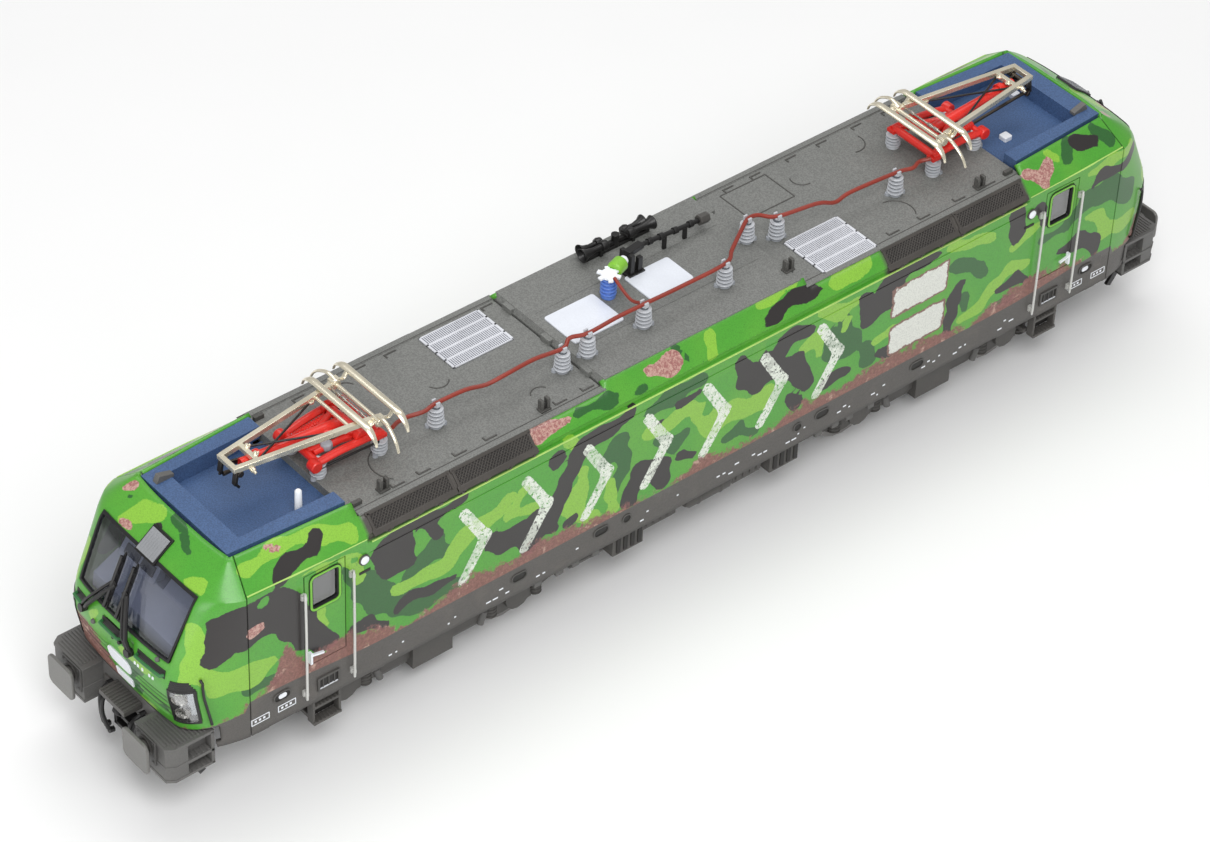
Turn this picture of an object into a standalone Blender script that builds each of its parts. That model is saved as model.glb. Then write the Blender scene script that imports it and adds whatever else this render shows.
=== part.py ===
"""H0 (1:87) model of a four-axle electric locomotive, built the way the model comes apart on a bench.

Frame: X along the track, Y across, Z up. The origin is at rail-top height, midway between the buffers.
Cab 1 is at -X and cab 2 at +X. Lengths are in millimetres and become metres in the helper functions.
"""

import math

import bmesh
import bpy
from mathutils import Matrix, Vector

MM = 0.001
MERGE = 0.0005 * MM
FIT = 0.3
ASSEMBLY = "model_electric_locomotive"

# Driving dimensions of the whole locomotive
BUFFER_FACE_X = 109.1
BUFFER_Y = 10.06
BUFFER_Z = 13.2
SIDE_Y = 17.2
SILL_Z = 11.8
NOSE_BOTTOM_Z = 16.3
CANT_Z = 40.4
CAB_ROOF_Z = 44.7
DECK_Z = 43.1
DECK_CENTRE_Z = 44.3
DECK_HALF_WIDTH = 13.75
DECK_STEP_X = 21.2
CAB_ROOF_X = (70.0, 92.3)
TAPER_X = 92.6
SHELL = 1.0
CEILING_Z = 40.9
LEDGE_Z = 42.0
LEDGE_HALF_WIDTH = 14.05
CEILING_OPENING_HALF = 12.4
TRAY_Z = 41.5
TRAY_END_X = 88.0
TRAY_HALF = (9.2, 9.7)
BEYOND = 112.0

# Running gear
BOGIE_X = 54.6
HALF_WHEELBASE = 17.25
AXLE_Z = 7.2
TREAD_R = 7.2
FLANGE_R = 8.1
WHEEL_Y = (7.2, 10.0)
FLANGE_WIDTH = 0.8
WHEEL_STEPS = 20
AXLE_R = 0.92
BORE_R = 1.0

# Gear train: single-start worm, worm gear, one idler per side, axle gears
MODULE = 0.5
WORM_GEAR_TEETH = 18
IDLER_TEETH = 19
AXLE_GEAR_TEETH = 17
WORM_GEAR_Z = 12.5
WORM_R = 2.5
ADDENDUM = 0.42
DEDENDUM = 0.62
TOOTH_SHARE = 0.38
GEAR_WIDTH = 2.4
GEAR_SHAFT_HALF = 4.8
WORM_PITCH = math.pi * MODULE
WORM_GEAR_R = MODULE * WORM_GEAR_TEETH / 2
IDLER_R = MODULE * IDLER_TEETH / 2
AXLE_GEAR_R = MODULE * AXLE_GEAR_TEETH / 2
DRIVE_Z = WORM_GEAR_Z + WORM_GEAR_R + WORM_R

# Drive line between the motor and the worms
WORM_HALF = 3.6
CUP_X = (5.9, 8.6)
CUP_R = (2.4, 2.95)
CARDAN_BALL_R = 1.0
CARDAN_BALL_X = 7.9
SHAFT_R = 0.92
FLYWHEEL_X = (16.4, 24.0)
FLYWHEEL_R = 7.0
MOTOR_HALF = 13.0
MOTOR_HEIGHT_HALF = 7.9
CHASSIS_FLOOR_Z = (16.3, 18.6)
CHASSIS_HALF_WIDTH = 15.4
SWIVEL_CLEAR_R = 11.2

# Head stock
COUPLER_PIVOT_X = 94.0
COUPLER_Z = 8.6
BUFFER_STEM_R = 1.2

# Pantographs, each with its elbow towards its own cab
PANTO_PIVOT = (61.5, 47.5)
PANTO_ELBOW = (82.5, 49.5)
PANTO_HEAD = (59.1, 50.2)
PANTO_ROD_PIVOT = (65.3, 45.6)
PANTO_ROD_END = (83.5, 47.3)
HEAD_STRIP_X = (56.3, 62.3)
STRIP_HALF = 6.3
FRAME_HALF_NARROW = 1.8
FRAME_HALF_WIDE = 5.2

COLOURS = {
    "camo_green": ((0.12, 0.36, 0.06), 0.45, 0.0),
    "frame_grey": ((0.095, 0.09, 0.085), 0.6, 0.0),
    "roof_grey": ((0.2, 0.2, 0.19), 0.65, 0.0),
    "roof_blue": ((0.08, 0.14, 0.28), 0.5, 0.0),
    "glazing": ((0.55, 0.6, 0.62), 0.08, 0.0),
    "interior_grey": ((0.3, 0.31, 0.32), 0.6, 0.0),
    "cast_weight": ((0.2, 0.2, 0.21), 0.5, 0.7),
    "board_green": ((0.03, 0.16, 0.06), 0.4, 0.0),
    "light_guide": ((0.8, 0.82, 0.84), 0.1, 0.0),
    "steel": ((0.45, 0.45, 0.46), 0.3, 1.0),
    "nickel": ((0.62, 0.6, 0.55), 0.25, 1.0),
    "brass": ((0.6, 0.42, 0.14), 0.3, 1.0),
    "gear_plastic": ((0.72, 0.68, 0.55), 0.5, 0.0),
    "black_plastic": ((0.02, 0.02, 0.02), 0.5, 0.0),
    "red_paint": ((0.62, 0.05, 0.03), 0.4, 0.0),
    "panto_metal": ((0.68, 0.64, 0.52), 0.3, 1.0),
    "busbar_red": ((0.36, 0.07, 0.04), 0.45, 0.0),
}


# ---------------------------------------------------------------- helpers


def clear_scene():
    for obj in list(bpy.data.objects):
        bpy.data.objects.remove(obj)


def make_collection(name):
    collection = bpy.data.collections.new(name)
    bpy.context.scene.collection.children.link(collection)
    return collection


def make_material(name):
    colour, roughness, metallic = COLOURS[name]
    material = bpy.data.materials.new(name)
    material.use_nodes = True
    shader = material.node_tree.nodes["Principled BSDF"]
    shader.inputs["Base Color"].default_value = (*colour, 1.0)
    shader.inputs["Roughness"].default_value = roughness
    shader.inputs["Metallic"].default_value = metallic
    return material


def working_object(data):
    obj = bpy.data.objects.new("shape", data)
    WORK.objects.link(obj)
    return obj


def mesh_from(bm):
    mesh = bpy.data.meshes.new("shape")
    bm.to_mesh(mesh)
    bm.free()
    return working_object(mesh)


def baked(obj):
    """A plain mesh object with the modifiers, the curve shape and the placing of obj made real."""
    bpy.context.view_layer.update()
    depsgraph = bpy.context.evaluated_depsgraph_get()
    mesh = bpy.data.meshes.new_from_object(obj.evaluated_get(depsgraph))
    mesh.transform(obj.matrix_world)
    bpy.data.objects.remove(obj)
    bm = bmesh.new()
    bm.from_mesh(mesh)
    bmesh.ops.remove_doubles(bm, verts=bm.verts, dist=MERGE)
    bm.to_mesh(mesh)
    bm.free()
    return working_object(mesh)


def block(low, high, bevel=0.0):
    bm = bmesh.new()
    size = [(b - a) * MM for a, b in zip(low, high)]
    centre = [(a + b) / 2 * MM for a, b in zip(low, high)]
    bmesh.ops.create_cube(bm, size=1.0)
    bmesh.ops.scale(bm, vec=size, verts=bm.verts)
    obj = mesh_from(bm)
    obj.location = centre
    if bevel:
        modifier = obj.modifiers.new("rounding", "BEVEL")
        modifier.width = bevel * MM
        modifier.segments = 2
    return baked(obj)


def end_block(side, x_range, y_range, z_range):
    """A block whose X range is given for the +X end and mirrored for the other end."""
    low, high = sorted((side * x_range[0], side * x_range[1]))
    return block((low, y_range[0], z_range[0]), (high, y_range[1], z_range[1]))


def flank_block(side, x_range, y_range, z_range):
    """A block whose Y range is given for the +Y flank and mirrored for the other flank."""
    low, high = sorted((side * y_range[0], side * y_range[1]))
    return block((x_range[0], low, z_range[0]), (x_range[1], high, z_range[1]))


def rod(start, end, radius, sides=16, end_radius=None):
    a = Vector(start) * MM
    b = Vector(end) * MM
    bm = bmesh.new()
    bmesh.ops.create_cone(
        bm,
        cap_ends=True,
        segments=sides,
        radius1=radius * MM,
        radius2=(radius if end_radius is None else end_radius) * MM,
        depth=(b - a).length,
    )
    obj = mesh_from(bm)
    turn = (b - a).to_track_quat("Z", "Y").to_matrix().to_4x4()
    obj.matrix_world = Matrix.Translation((a + b) / 2) @ turn
    return baked(obj)


def turned(profile, centre, axis, steps=24):
    """A solid of revolution. profile holds (distance along the axis, radius), from the far end back."""
    bm = bmesh.new()
    corners = [bm.verts.new((r * MM, 0.0, h * MM)) for h, r in profile]
    for a, b in zip(corners, corners[1:]):
        bm.edges.new((a, b))
    obj = mesh_from(bm)
    screw = obj.modifiers.new("turn", "SCREW")
    screw.steps = steps
    screw.render_steps = steps
    screw.use_merge_vertices = True
    screw.merge_threshold = MERGE
    obj.rotation_mode = "QUATERNION"
    obj.rotation_quaternion = Vector(axis).to_track_quat("Z", "Y")
    obj.location = Vector(centre) * MM
    return baked(obj)


PLANES = {
    "XY": Matrix.Identity(4),
    "XZ": Matrix(((1, 0, 0, 0), (0, 0, -1, 0), (0, 1, 0, 0), (0, 0, 0, 1))),
    "YZ": Matrix(((0, 0, 1, 0), (1, 0, 0, 0), (0, 1, 0, 0), (0, 0, 0, 1))),
}


def slab(points, low, high, plane):
    """A flat outline in the named plane, thickened from low to high along the plane's normal."""
    curve = bpy.data.curves.new("outline", "CURVE")
    curve.dimensions = "2D"
    curve.fill_mode = "BOTH"
    curve.extrude = (high - low) / 2 * MM
    spline = curve.splines.new("POLY")
    spline.points.add(len(points) - 1)
    for corner, (u, v) in zip(spline.points, points):
        corner.co = (u * MM, v * MM, 0.0, 1.0)
    spline.use_cyclic_u = True
    obj = working_object(curve)
    middle = (low + high) / 2 * MM
    if plane == "XZ":
        middle = -middle
    obj.matrix_world = PLANES[plane] @ Matrix.Translation((0.0, 0.0, middle))
    return baked(obj)


def wire(points, radius, resolution=1):
    curve = bpy.data.curves.new("wire", "CURVE")
    curve.dimensions = "3D"
    curve.bevel_depth = radius * MM
    curve.bevel_resolution = resolution
    curve.use_fill_caps = True
    spline = curve.splines.new("POLY")
    spline.points.add(len(points) - 1)
    for corner, point in zip(spline.points, points):
        corner.co = (*(Vector(point) * MM), 1.0)
    return baked(working_object(curve))


def boolean(base, other, operation):
    modifier = base.modifiers.new(operation.lower(), "BOOLEAN")
    modifier.operation = operation
    modifier.solver = "EXACT"
    modifier.object = other
    result = baked(base)
    bpy.data.objects.remove(other)
    return result


def join(first, *others):
    for other in others:
        first = boolean(first, other, "UNION")
    return first


def cut(base, *tools):
    for tool in tools:
        base = boolean(base, tool, "DIFFERENCE")
    return base


def overlap(base, tool):
    return boolean(base, tool, "INTERSECT")


def turned_round(obj):
    """Half a turn about Z, which carries a piece of one end of the locomotive to the other end."""
    obj.data.transform(Matrix.Rotation(math.pi, 4, "Z"))
    return obj


def finish(name, obj, material, origin=(0.0, 0.0, 0.0)):
    """Names a finished shape, puts its origin on its joint axis and files it with the parts."""
    place = Vector(origin) * MM
    obj.data.transform(Matrix.Translation(-place))
    obj.location = place
    obj.name = name
    obj.data.name = name
    obj.data.materials.clear()
    obj.data.materials.append(MATERIALS[material])
    obj.data.set_sharp_from_angle(angle=math.radians(35))
    WORK.objects.unlink(obj)
    PARTS.objects.link(obj)


def both_ends(name, build, material, origin=(0.0, 0.0, 0.0)):
    """The piece of cab 2 as built, and the same piece turned round for cab 1."""
    x, y, z = origin
    finish(f"{name}_2", build(), material, origin)
    finish(f"{name}_1", turned_round(build()), material, (-x, -y, z))


# ---------------------------------------------------------------- body shell

# Each level: height, nose x, half width of the flat nose, corner control y, taper end (x, y), side y
BODY_LEVELS = (
    (SILL_Z, 102.5, 12.0, 15.9, (TAPER_X, SIDE_Y), SIDE_Y),
    (18.2, 103.5, 12.2, 16.0, (TAPER_X, SIDE_Y), SIDE_Y),
    (24.5, 104.7, 12.2, 16.0, (TAPER_X, SIDE_Y), SIDE_Y),
    (28.8, 104.1, 12.0, 16.0, (TAPER_X, SIDE_Y), SIDE_Y),
    (CANT_Z, 98.7, 12.3, 16.0, (TAPER_X, SIDE_Y), SIDE_Y),
    (CAB_ROOF_Z, CAB_ROOF_X[1], 11.4, 11.9, (91.2, 11.95), 13.15),
)
CORNER_STEPS = (0.25, 0.5, 0.75)


def body_section(z):
    """The level values at any height, between the two nearest levels."""
    for low, high in zip(BODY_LEVELS, BODY_LEVELS[1:]):
        if z <= high[0]:
            break
    share = (z - low[0]) / (high[0] - low[0])

    def mix(a, b):
        return a + (b - a) * share

    taper = (mix(low[4][0], high[4][0]), mix(low[4][1], high[4][1]))
    return tuple(mix(low[i], high[i]) for i in (1, 2, 3)) + (taper, mix(low[5], high[5]))


def body_ring(z, inset):
    """Plan outline of one body quarter at a height, drawn in from the outside face by inset."""
    nose, flat, corner, taper, side = body_section(z)
    ring = [
        (nose - inset, 0.0),
        (nose - 0.1 - inset, 7.0),
        (nose - 0.6 - inset, flat - 0.4 * inset),
    ]
    start = (nose - 0.6, flat)
    control = (nose - 1.5 if taper[0] > 92 else nose - 0.1, corner)
    for t in CORNER_STEPS:
        x = (1 - t) ** 2 * start[0] + 2 * t * (1 - t) * control[0] + t * t * taper[0]
        y = (1 - t) ** 2 * start[1] + 2 * t * (1 - t) * control[1] + t * t * taper[1]
        ring.append((x - 0.8 * inset, y - 0.8 * inset))
    ring.append((taper[0] - 0.3 * inset, taper[1] - inset))
    ring.append((CAB_ROOF_X[0], side - inset))
    ring.append((0.0, side - inset))
    return ring


def body_solid(inset, low_z, high_z):
    """The closed form of the body between two heights, lofted through its levels."""
    heights = [low_z]
    heights += [level[0] for level in BODY_LEVELS if low_z < level[0] < high_z]
    heights.append(high_z)
    bm = bmesh.new()
    rings = []
    for z in heights:
        quarter = body_ring(max(z, SILL_Z), inset)
        loop = list(quarter)
        loop += [(-x, y) for x, y in reversed(quarter[:-1])]
        loop += [(-x, -y) for x, y in quarter[1:]]
        loop += [(x, -y) for x, y in reversed(quarter[1:-1])]
        rings.append([bm.verts.new((x * MM, y * MM, z * MM)) for x, y in loop])
    count = len(rings[0])
    for below, above in zip(rings, rings[1:]):
        for i in range(count):
            j = (i + 1) % count
            bm.faces.new((below[i], below[j], above[j], above[i]))
    bm.faces.new(list(reversed(rings[0])))
    bm.faces.new(rings[-1])
    bmesh.ops.triangulate(bm, faces=bm.faces)
    return mesh_from(bm)


WINDSCREEN = ((-11.5, 29.7), (11.5, 29.7), (11.8, 39.8), (-11.8, 39.8))
DOOR_WINDOW = ((75.3, 31.3), (80.7, 31.3), (80.7, 38.1), (75.3, 38.1))
CAB_OPENING = ((70.3, 12.7), (91.85, 11.45), (91.85, -11.45), (70.3, -12.7))


def shrunk(points, amount):
    """An outline of four corners drawn in by amount on every side."""
    u = sum(p[0] for p in points) / len(points)
    v = sum(p[1] for p in points) / len(points)
    return [(a - math.copysign(amount, a - u), b - math.copysign(amount, b - v)) for a, b in points]


def flipped(points):
    return [(-u, v) for u, v in points]


def build_body_shell():
    """One thin shell with the roof opening, the window openings and the lifted nose."""
    shell = cut(body_solid(0.0, SILL_Z, CAB_ROOF_Z), body_solid(SHELL, SILL_Z - 2, CEILING_Z))
    deck_end = CAB_ROOF_X[0]
    ledge_end = deck_end - FIT
    opening_end = deck_end - 1.5
    above = 50.0
    shell = cut(
        shell,
        block((-deck_end, -20, DECK_Z + 0.2), (deck_end, 20, above)),
        block((-ledge_end, -LEDGE_HALF_WIDTH, LEDGE_Z), (ledge_end, LEDGE_HALF_WIDTH, above)),
        block(
            (-opening_end, -CEILING_OPENING_HALF, CEILING_Z - 1),
            (opening_end, CEILING_OPENING_HALF, above),
        ),
    )
    for side in (-1, 1):
        opening = CAB_OPENING if side > 0 else flipped(CAB_OPENING)
        window = DOOR_WINDOW if side > 0 else flipped(DOOR_WINDOW)
        front = sorted((side * (TAPER_X + 1.4), side * BEYOND))
        shell = cut(
            shell,
            slab(opening, LEDGE_Z, above, "XY"),
            end_block(side, (71.5, 90.5), (-10.95, 10.95), (38, above)),
            end_block(side, (69, 72), (-9.9, 9.9), (41.2, above)),
            slab(WINDSCREEN, *front, "YZ"),
            end_block(side, (97.5, BEYOND), (-20, 20), (5, NOSE_BOTTOM_Z)),
            slab(window, -20, 20, "XZ"),
        )
    return shell


def build_cab_glazing():
    """Windscreen and both door panes as one clear moulding, hooked behind the window openings."""
    frame = cut(body_solid(1.3, 30.2, 40.2), body_solid(2.1, 29.0, 41.0))
    frame = overlap(frame, block((72.5, -20, 29), (110, 20, 42)))
    pane = cut(body_solid(0.25, 29.0, 40.3), body_solid(1.6, 28.5, 41.0))
    pane = overlap(pane, slab(shrunk(WINDSCREEN, FIT), 94, 112, "YZ"))
    sides = cut(body_solid(0.3, 30.6, 40.0), body_solid(1.6, 29.0, 41.0))
    sides = overlap(sides, block((73.5, -20, 29), (85, 20, 42)))
    sides = overlap(sides, slab(shrunk(DOOR_WINDOW, FIT), -20, 20, "XZ"))
    return join(frame, pane, sides)


def build_cab_roof():
    """Cab roof with the sunk tray that takes the folded pantograph, open towards the roof deck."""
    rim = slab(shrunk(CAB_OPENING, FIT), LEDGE_Z + FIT, CAB_ROOF_Z, "XY")
    plug = block((72, -10.6, 40.6), (90.2, 10.6, LEDGE_Z + 1))
    roof = join(rim, plug)
    front, rear = TRAY_HALF
    tray = ((60, -rear), (TRAY_END_X, -front), (TRAY_END_X, front), (60, rear))
    return cut(roof, slab(tray, TRAY_Z, 50, "XY"))


def build_hatch(low_x, high_x, top_z):
    """One roof plate with its locating plug; the raised middle plate has chamfered ends."""
    edge = 0.5 if top_z > DECK_Z else 0.0
    outline = (
        (low_x, LEDGE_Z + FIT),
        (high_x, LEDGE_Z + FIT),
        (high_x, top_z - 2 * edge),
        (high_x - edge, top_z),
        (low_x + edge, top_z),
        (low_x, top_z - 2 * edge),
    )
    if not edge:
        outline = (outline[0], outline[1], outline[3], outline[4])
    plate = slab(outline, -DECK_HALF_WIDTH, DECK_HALF_WIDTH, "XZ")
    plug_end = CAB_ROOF_X[0] - 2
    plug_half = CEILING_OPENING_HALF - FIT
    low_plug = max(low_x + 1, -plug_end)
    high_plug = min(high_x - 1, plug_end)
    plug = block((low_plug, -plug_half, CEILING_Z + FIT), (high_plug, plug_half, LEDGE_Z + 0.6))
    return join(plate, plug)


# ---------------------------------------------------------------- cab fittings and electrics


def build_cab_interior():
    """Cab floor, rear wall, driver's desk and seat in one moulding."""
    floor_z = 19.6
    seat_z = 25.5
    half = 13.5
    floor = block((73.5, -half, floor_z), (97.0, half, floor_z + 1.2))
    wall = block((73.5, -half, floor_z + 0.9), (74.5, half, 39.4))
    desk_outline = ((91, 20.5), (98.0, 20.5), (98.0, 26.5), (95.5, 28.6), (91.5, 27.6))
    desk = slab(desk_outline, -11.5, 11.5, "XZ")
    seat = block((81.0, -3.0, floor_z + 0.9), (85.5, 3.0, seat_z))
    back = block((80.2, -3.0, floor_z + 0.9), (81.8, 3.0, seat_z + 7))
    return join(floor, wall, desk, seat, back)


def build_light_guide():
    """Clear bar behind the nose with a spigot for each headlamp."""
    lamp_y = 10.6
    lamp_z = 21.4
    bar = block((99.6, -11.0, 17.2), (100.5, 11.0, 27.0))
    guides = [rod((100.2, y, lamp_z), (102.0, y, lamp_z), 1.2, 12) for y in (-lamp_y, lamp_y)]
    return join(bar, *guides)


def build_circuit_board():
    """Board above the motor with the decoder socket and four chips."""
    top = 34.8
    seated = top - 0.3
    board = block((-38, -11.5, top - 1.2), (38, 11.5, top))
    socket = block((-10, -5, seated), (10, 5, top + 2.7))
    chips = [block((x - 3, -8, seated), (x + 3, 6, top + 1.4)) for x in (-28, -20, 22, 30)]
    return join(board, socket, *chips)


def build_equipment_box():
    """Underfloor box between the bogies, deeper at both ends, with an air tank on its flank."""
    low = 6.9
    high = 11.0
    ends = [block((x, -16.2, low), (x + 7, 16.2, high)) for x in (-19.5, 14.5)]
    middle = block((-13, -13.6, low + 0.6), (15, 13.6, high))
    tank = rod((-3.5, -14.2, 9.0), (7.5, -14.2, 9.0), 1.5, 12)
    return join(middle, *ends, tank)


# ---------------------------------------------------------------- chassis and motor


def build_chassis_frame():
    """Cast weight: floor, motor tub and high flanks, cut for the motor, drive line and bogies."""
    low, high = CHASSIS_FLOOR_Z
    half = CHASSIS_HALF_WIDTH
    seated = high - 0.6
    floor = block((-96, -14.0, low), (96, 14.0, high))
    wide = block((-86, -half - 0.2, low), (86, half + 0.2, high))
    tub = block((-23, -half, 11.4), (25, half, seated))
    weights = [flank_block(s, (-42, 42), (9.6, half), (seated, 33.2)) for s in (-1, 1)]
    ends = []
    for x_range in ((-71, -41), (41, 71)):
        ends += [flank_block(s, x_range, (11.6, half), (seated, 29.0)) for s in (-1, 1)]
    frame = join(floor, wide, tub, *weights, *ends)
    frame = cut(frame, block((-MOTOR_HALF - 0.5, -9.0, 5), (MOTOR_HALF + 0.5, 9.0, 40)))
    for side in (-1, 1):
        frame = cut(
            frame,
            end_block(side, (12, 45), (-7.6, 7.6), (10.9, 40)),
            rod((BOGIE_X * side, 0, 5), (BOGIE_X * side, 0, 40), SWIVEL_CLEAR_R, 24),
        )
    return frame


def build_motor_can():
    """Motor housing, open at the commutator end, with the bearing at the other."""
    tall = MOTOR_HEIGHT_HALF
    can = block((-MOTOR_HALF, -8.6, DRIVE_Z - tall), (MOTOR_HALF, 8.6, DRIVE_Z + tall), bevel=1.2)
    chamber = rod((-11.6, 0, DRIVE_Z), (MOTOR_HALF + 1, 0, DRIVE_Z), 7.1, 24)
    bearing = rod((-MOTOR_HALF - 1, 0, DRIVE_Z), (0, 0, DRIVE_Z), BORE_R, 24)
    return cut(can, chamber, bearing)


def build_motor_rotor():
    """Shaft, armature core and commutator."""
    end = 22.0
    core = 8.6
    core_r = 6.5
    commutator_r = 2.4
    profile = (
        (end, 0.0),
        (end, SHAFT_R),
        (core + 3.4, SHAFT_R),
        (core + 3.4, commutator_r),
        (core + 1.2, commutator_r),
        (core + 1.2, SHAFT_R),
        (core, SHAFT_R),
        (core, core_r),
        (-core, core_r),
        (-core, SHAFT_R),
        (-end, SHAFT_R),
        (-end, 0.0),
    )
    return turned(profile, (0, 0, DRIVE_Z), (1, 0, 0), 20)


def build_flywheel():
    """Flywheel with the cup for the cardan ball in its outer face."""
    low, high = FLYWHEEL_X
    cup_floor = high - 3.0
    bore = SHAFT_R + 0.06
    profile = (
        (high, FLYWHEEL_R),
        (low, FLYWHEEL_R),
        (low, bore),
        (cup_floor, bore),
        (cup_floor, CUP_R[0]),
        (high, CUP_R[0]),
        (high, FLYWHEEL_R),
    )
    return turned(profile, (0, 0, DRIVE_Z), (1, 0, 0), 20)


def build_cardan_shaft():
    """Shaft with a ball at each end; the balls turn inside the flywheel's and the worm's cups."""
    ball = CARDAN_BALL_R
    near = FLYWHEEL_X[1] - 1.4 + ball
    far = BOGIE_X - CARDAN_BALL_X
    half = ball * math.sqrt(0.5)
    shank = 0.55
    profile = [(far + ball, 0.0), (far + half, half), (far, ball), (far - 0.8, shank)]
    profile += [(near + 0.8, shank), (near, ball), (near - half, half), (near - ball, 0.0)]
    return turned(profile, (0, 0, DRIVE_Z), (1, 0, 0), 12)


# ---------------------------------------------------------------- gears


def gear_outline(teeth, phase):
    """Straight-flanked teeth; the first tooth points along phase, measured from +Z towards +X."""
    radius = MODULE * teeth / 2
    pitch = 2 * math.pi / teeth
    root = TOOTH_SHARE / 2 + 0.10
    crest = TOOTH_SHARE / 2 - 0.09
    corners = (
        (-root, radius - DEDENDUM),
        (-crest, radius + ADDENDUM),
        (crest, radius + ADDENDUM),
        (root, radius - DEDENDUM),
    )
    points = []
    for i in range(teeth):
        for share, r in corners:
            angle = phase + (i + share) * pitch
            points.append((r * math.sin(angle), r * math.cos(angle)))
    return points


def gear(teeth, phase, centre):
    x, z = centre
    outline = [(x + u, z + v) for u, v in gear_outline(teeth, phase)]
    return slab(outline, -GEAR_WIDTH / 2, GEAR_WIDTH / 2, "XZ")


def meshed_phase(teeth, phase, other_teeth, direction):
    """Phase of a second gear that stands in direction from the first, so that a gap meets each tooth."""
    offset = phase - direction
    return direction + math.pi + math.pi / other_teeth - offset * teeth / other_teeth


def idler_centre():
    """Where the idler stands between the worm gear and the axle gear, above their line of centres."""
    a = Vector((0.0, WORM_GEAR_Z))
    b = Vector((HALF_WHEELBASE, AXLE_Z))
    first = WORM_GEAR_R + IDLER_R
    second = IDLER_R + AXLE_GEAR_R
    span = (b - a).length
    along = (first**2 - second**2 + span**2) / (2 * span)
    across = math.sqrt(first**2 - along**2)
    unit = (b - a) / span
    return a + unit * along + Vector((-unit.y, unit.x)) * across


def bearing_of(vector):
    """Direction of a vector in the XZ plane, measured from +Z towards +X."""
    return math.atan2(vector[0], vector[1])


IDLER = idler_centre()
WORM_GEAR_PHASE = math.pi / WORM_GEAR_TEETH


def idler_phase():
    direction = bearing_of(IDLER - Vector((0.0, WORM_GEAR_Z)))
    return meshed_phase(WORM_GEAR_TEETH, WORM_GEAR_PHASE, IDLER_TEETH, direction)


def axle_gear_phase():
    direction = bearing_of(Vector((HALF_WHEELBASE, AXLE_Z)) - IDLER)
    return meshed_phase(IDLER_TEETH, idler_phase(), AXLE_GEAR_TEETH, direction)


def gear_on_shaft(teeth, phase, centre):
    x, z = centre
    shaft = rod((x, -GEAR_SHAFT_HALF, z), (x, GEAR_SHAFT_HALF, z), AXLE_R, 12)
    return join(gear(teeth, phase, centre), shaft)


def build_worm_gear():
    return gear_on_shaft(WORM_GEAR_TEETH, WORM_GEAR_PHASE, (0, WORM_GEAR_Z))


def build_idler(side):
    return gear_on_shaft(IDLER_TEETH, side * idler_phase(), (side * IDLER.x, IDLER.y))


def build_wheelset(side):
    """Axle, two flanged wheels and the axle gear, pressed together."""
    inner, outer = WHEEL_Y
    axle_end = outer + 0.35
    half = [
        (axle_end, 0.0),
        (axle_end, AXLE_R),
        (outer, AXLE_R),
        (outer, TREAD_R - 0.1),
        (inner + FLANGE_WIDTH, TREAD_R),
        (inner + 0.35, FLANGE_R),
        (inner, FLANGE_R - 0.3),
        (inner, AXLE_R),
    ]
    profile = half + [(-along, radius) for along, radius in reversed(half)]
    x = side * HALF_WHEELBASE
    wheels = turned(profile, (x, 0, AXLE_Z), (0, 1, 0), WHEEL_STEPS)
    return join(wheels, gear(AXLE_GEAR_TEETH, side * axle_gear_phase(), (x, AXLE_Z)))


def worm_thread():
    """A single right-hand thread about X, with a crest at its lowest point at x = 0."""
    sides = 10
    rows = 22
    root_share = 0.52
    flank_share = 0.26
    bm = bmesh.new()
    rings = []
    for row in range(rows + 1):
        x = -WORM_HALF + 2 * WORM_HALF * row / rows
        ring = []
        for i in range(sides):
            angle = 2 * math.pi * i / sides
            turn = x / WORM_PITCH - (angle + math.pi / 2) / (2 * math.pi)
            rise = 1 - 2 * abs(turn - round(turn))
            height = min(max((rise - root_share) / flank_share, 0.0), 1.0)
            radius = (WORM_R - DEDENDUM + height * (DEDENDUM + ADDENDUM)) * MM
            ring.append(bm.verts.new((x * MM, radius * math.cos(angle), radius * math.sin(angle))))
        rings.append(ring)
    for a, b in zip(rings, rings[1:]):
        for i in range(sides):
            j = (i + 1) % sides
            bm.faces.new((a[i], b[i], b[j], a[j]))
    bm.faces.new(rings[0])
    bm.faces.new(list(reversed(rings[-1])))
    bmesh.ops.recalc_face_normals(bm, faces=bm.faces)
    thread = mesh_from(bm)
    thread.location = (0, 0, DRIVE_Z * MM)
    return baked(thread)


def build_worm():
    """Worm on its shaft, with the drive cup on the motor's side."""
    start, rim = CUP_X
    inner, outer = CUP_R
    floor = start + 0.6
    far = -5.6
    profile = (
        (rim, outer),
        (start, outer),
        (start, SHAFT_R),
        (far, SHAFT_R),
        (far, 0.0),
        (floor, 0.0),
        (floor, inner),
        (rim, inner),
        (rim, outer),
    )
    return join(worm_thread(), turned(profile, (0, 0, DRIVE_Z), (-1, 0, 0), 20))


# ---------------------------------------------------------------- bogies


def disc_tool(centre, radius, half_width, sides=16):
    x, z = centre
    return rod((x, -half_width, z), (x, half_width, z), radius, sides)


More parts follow.
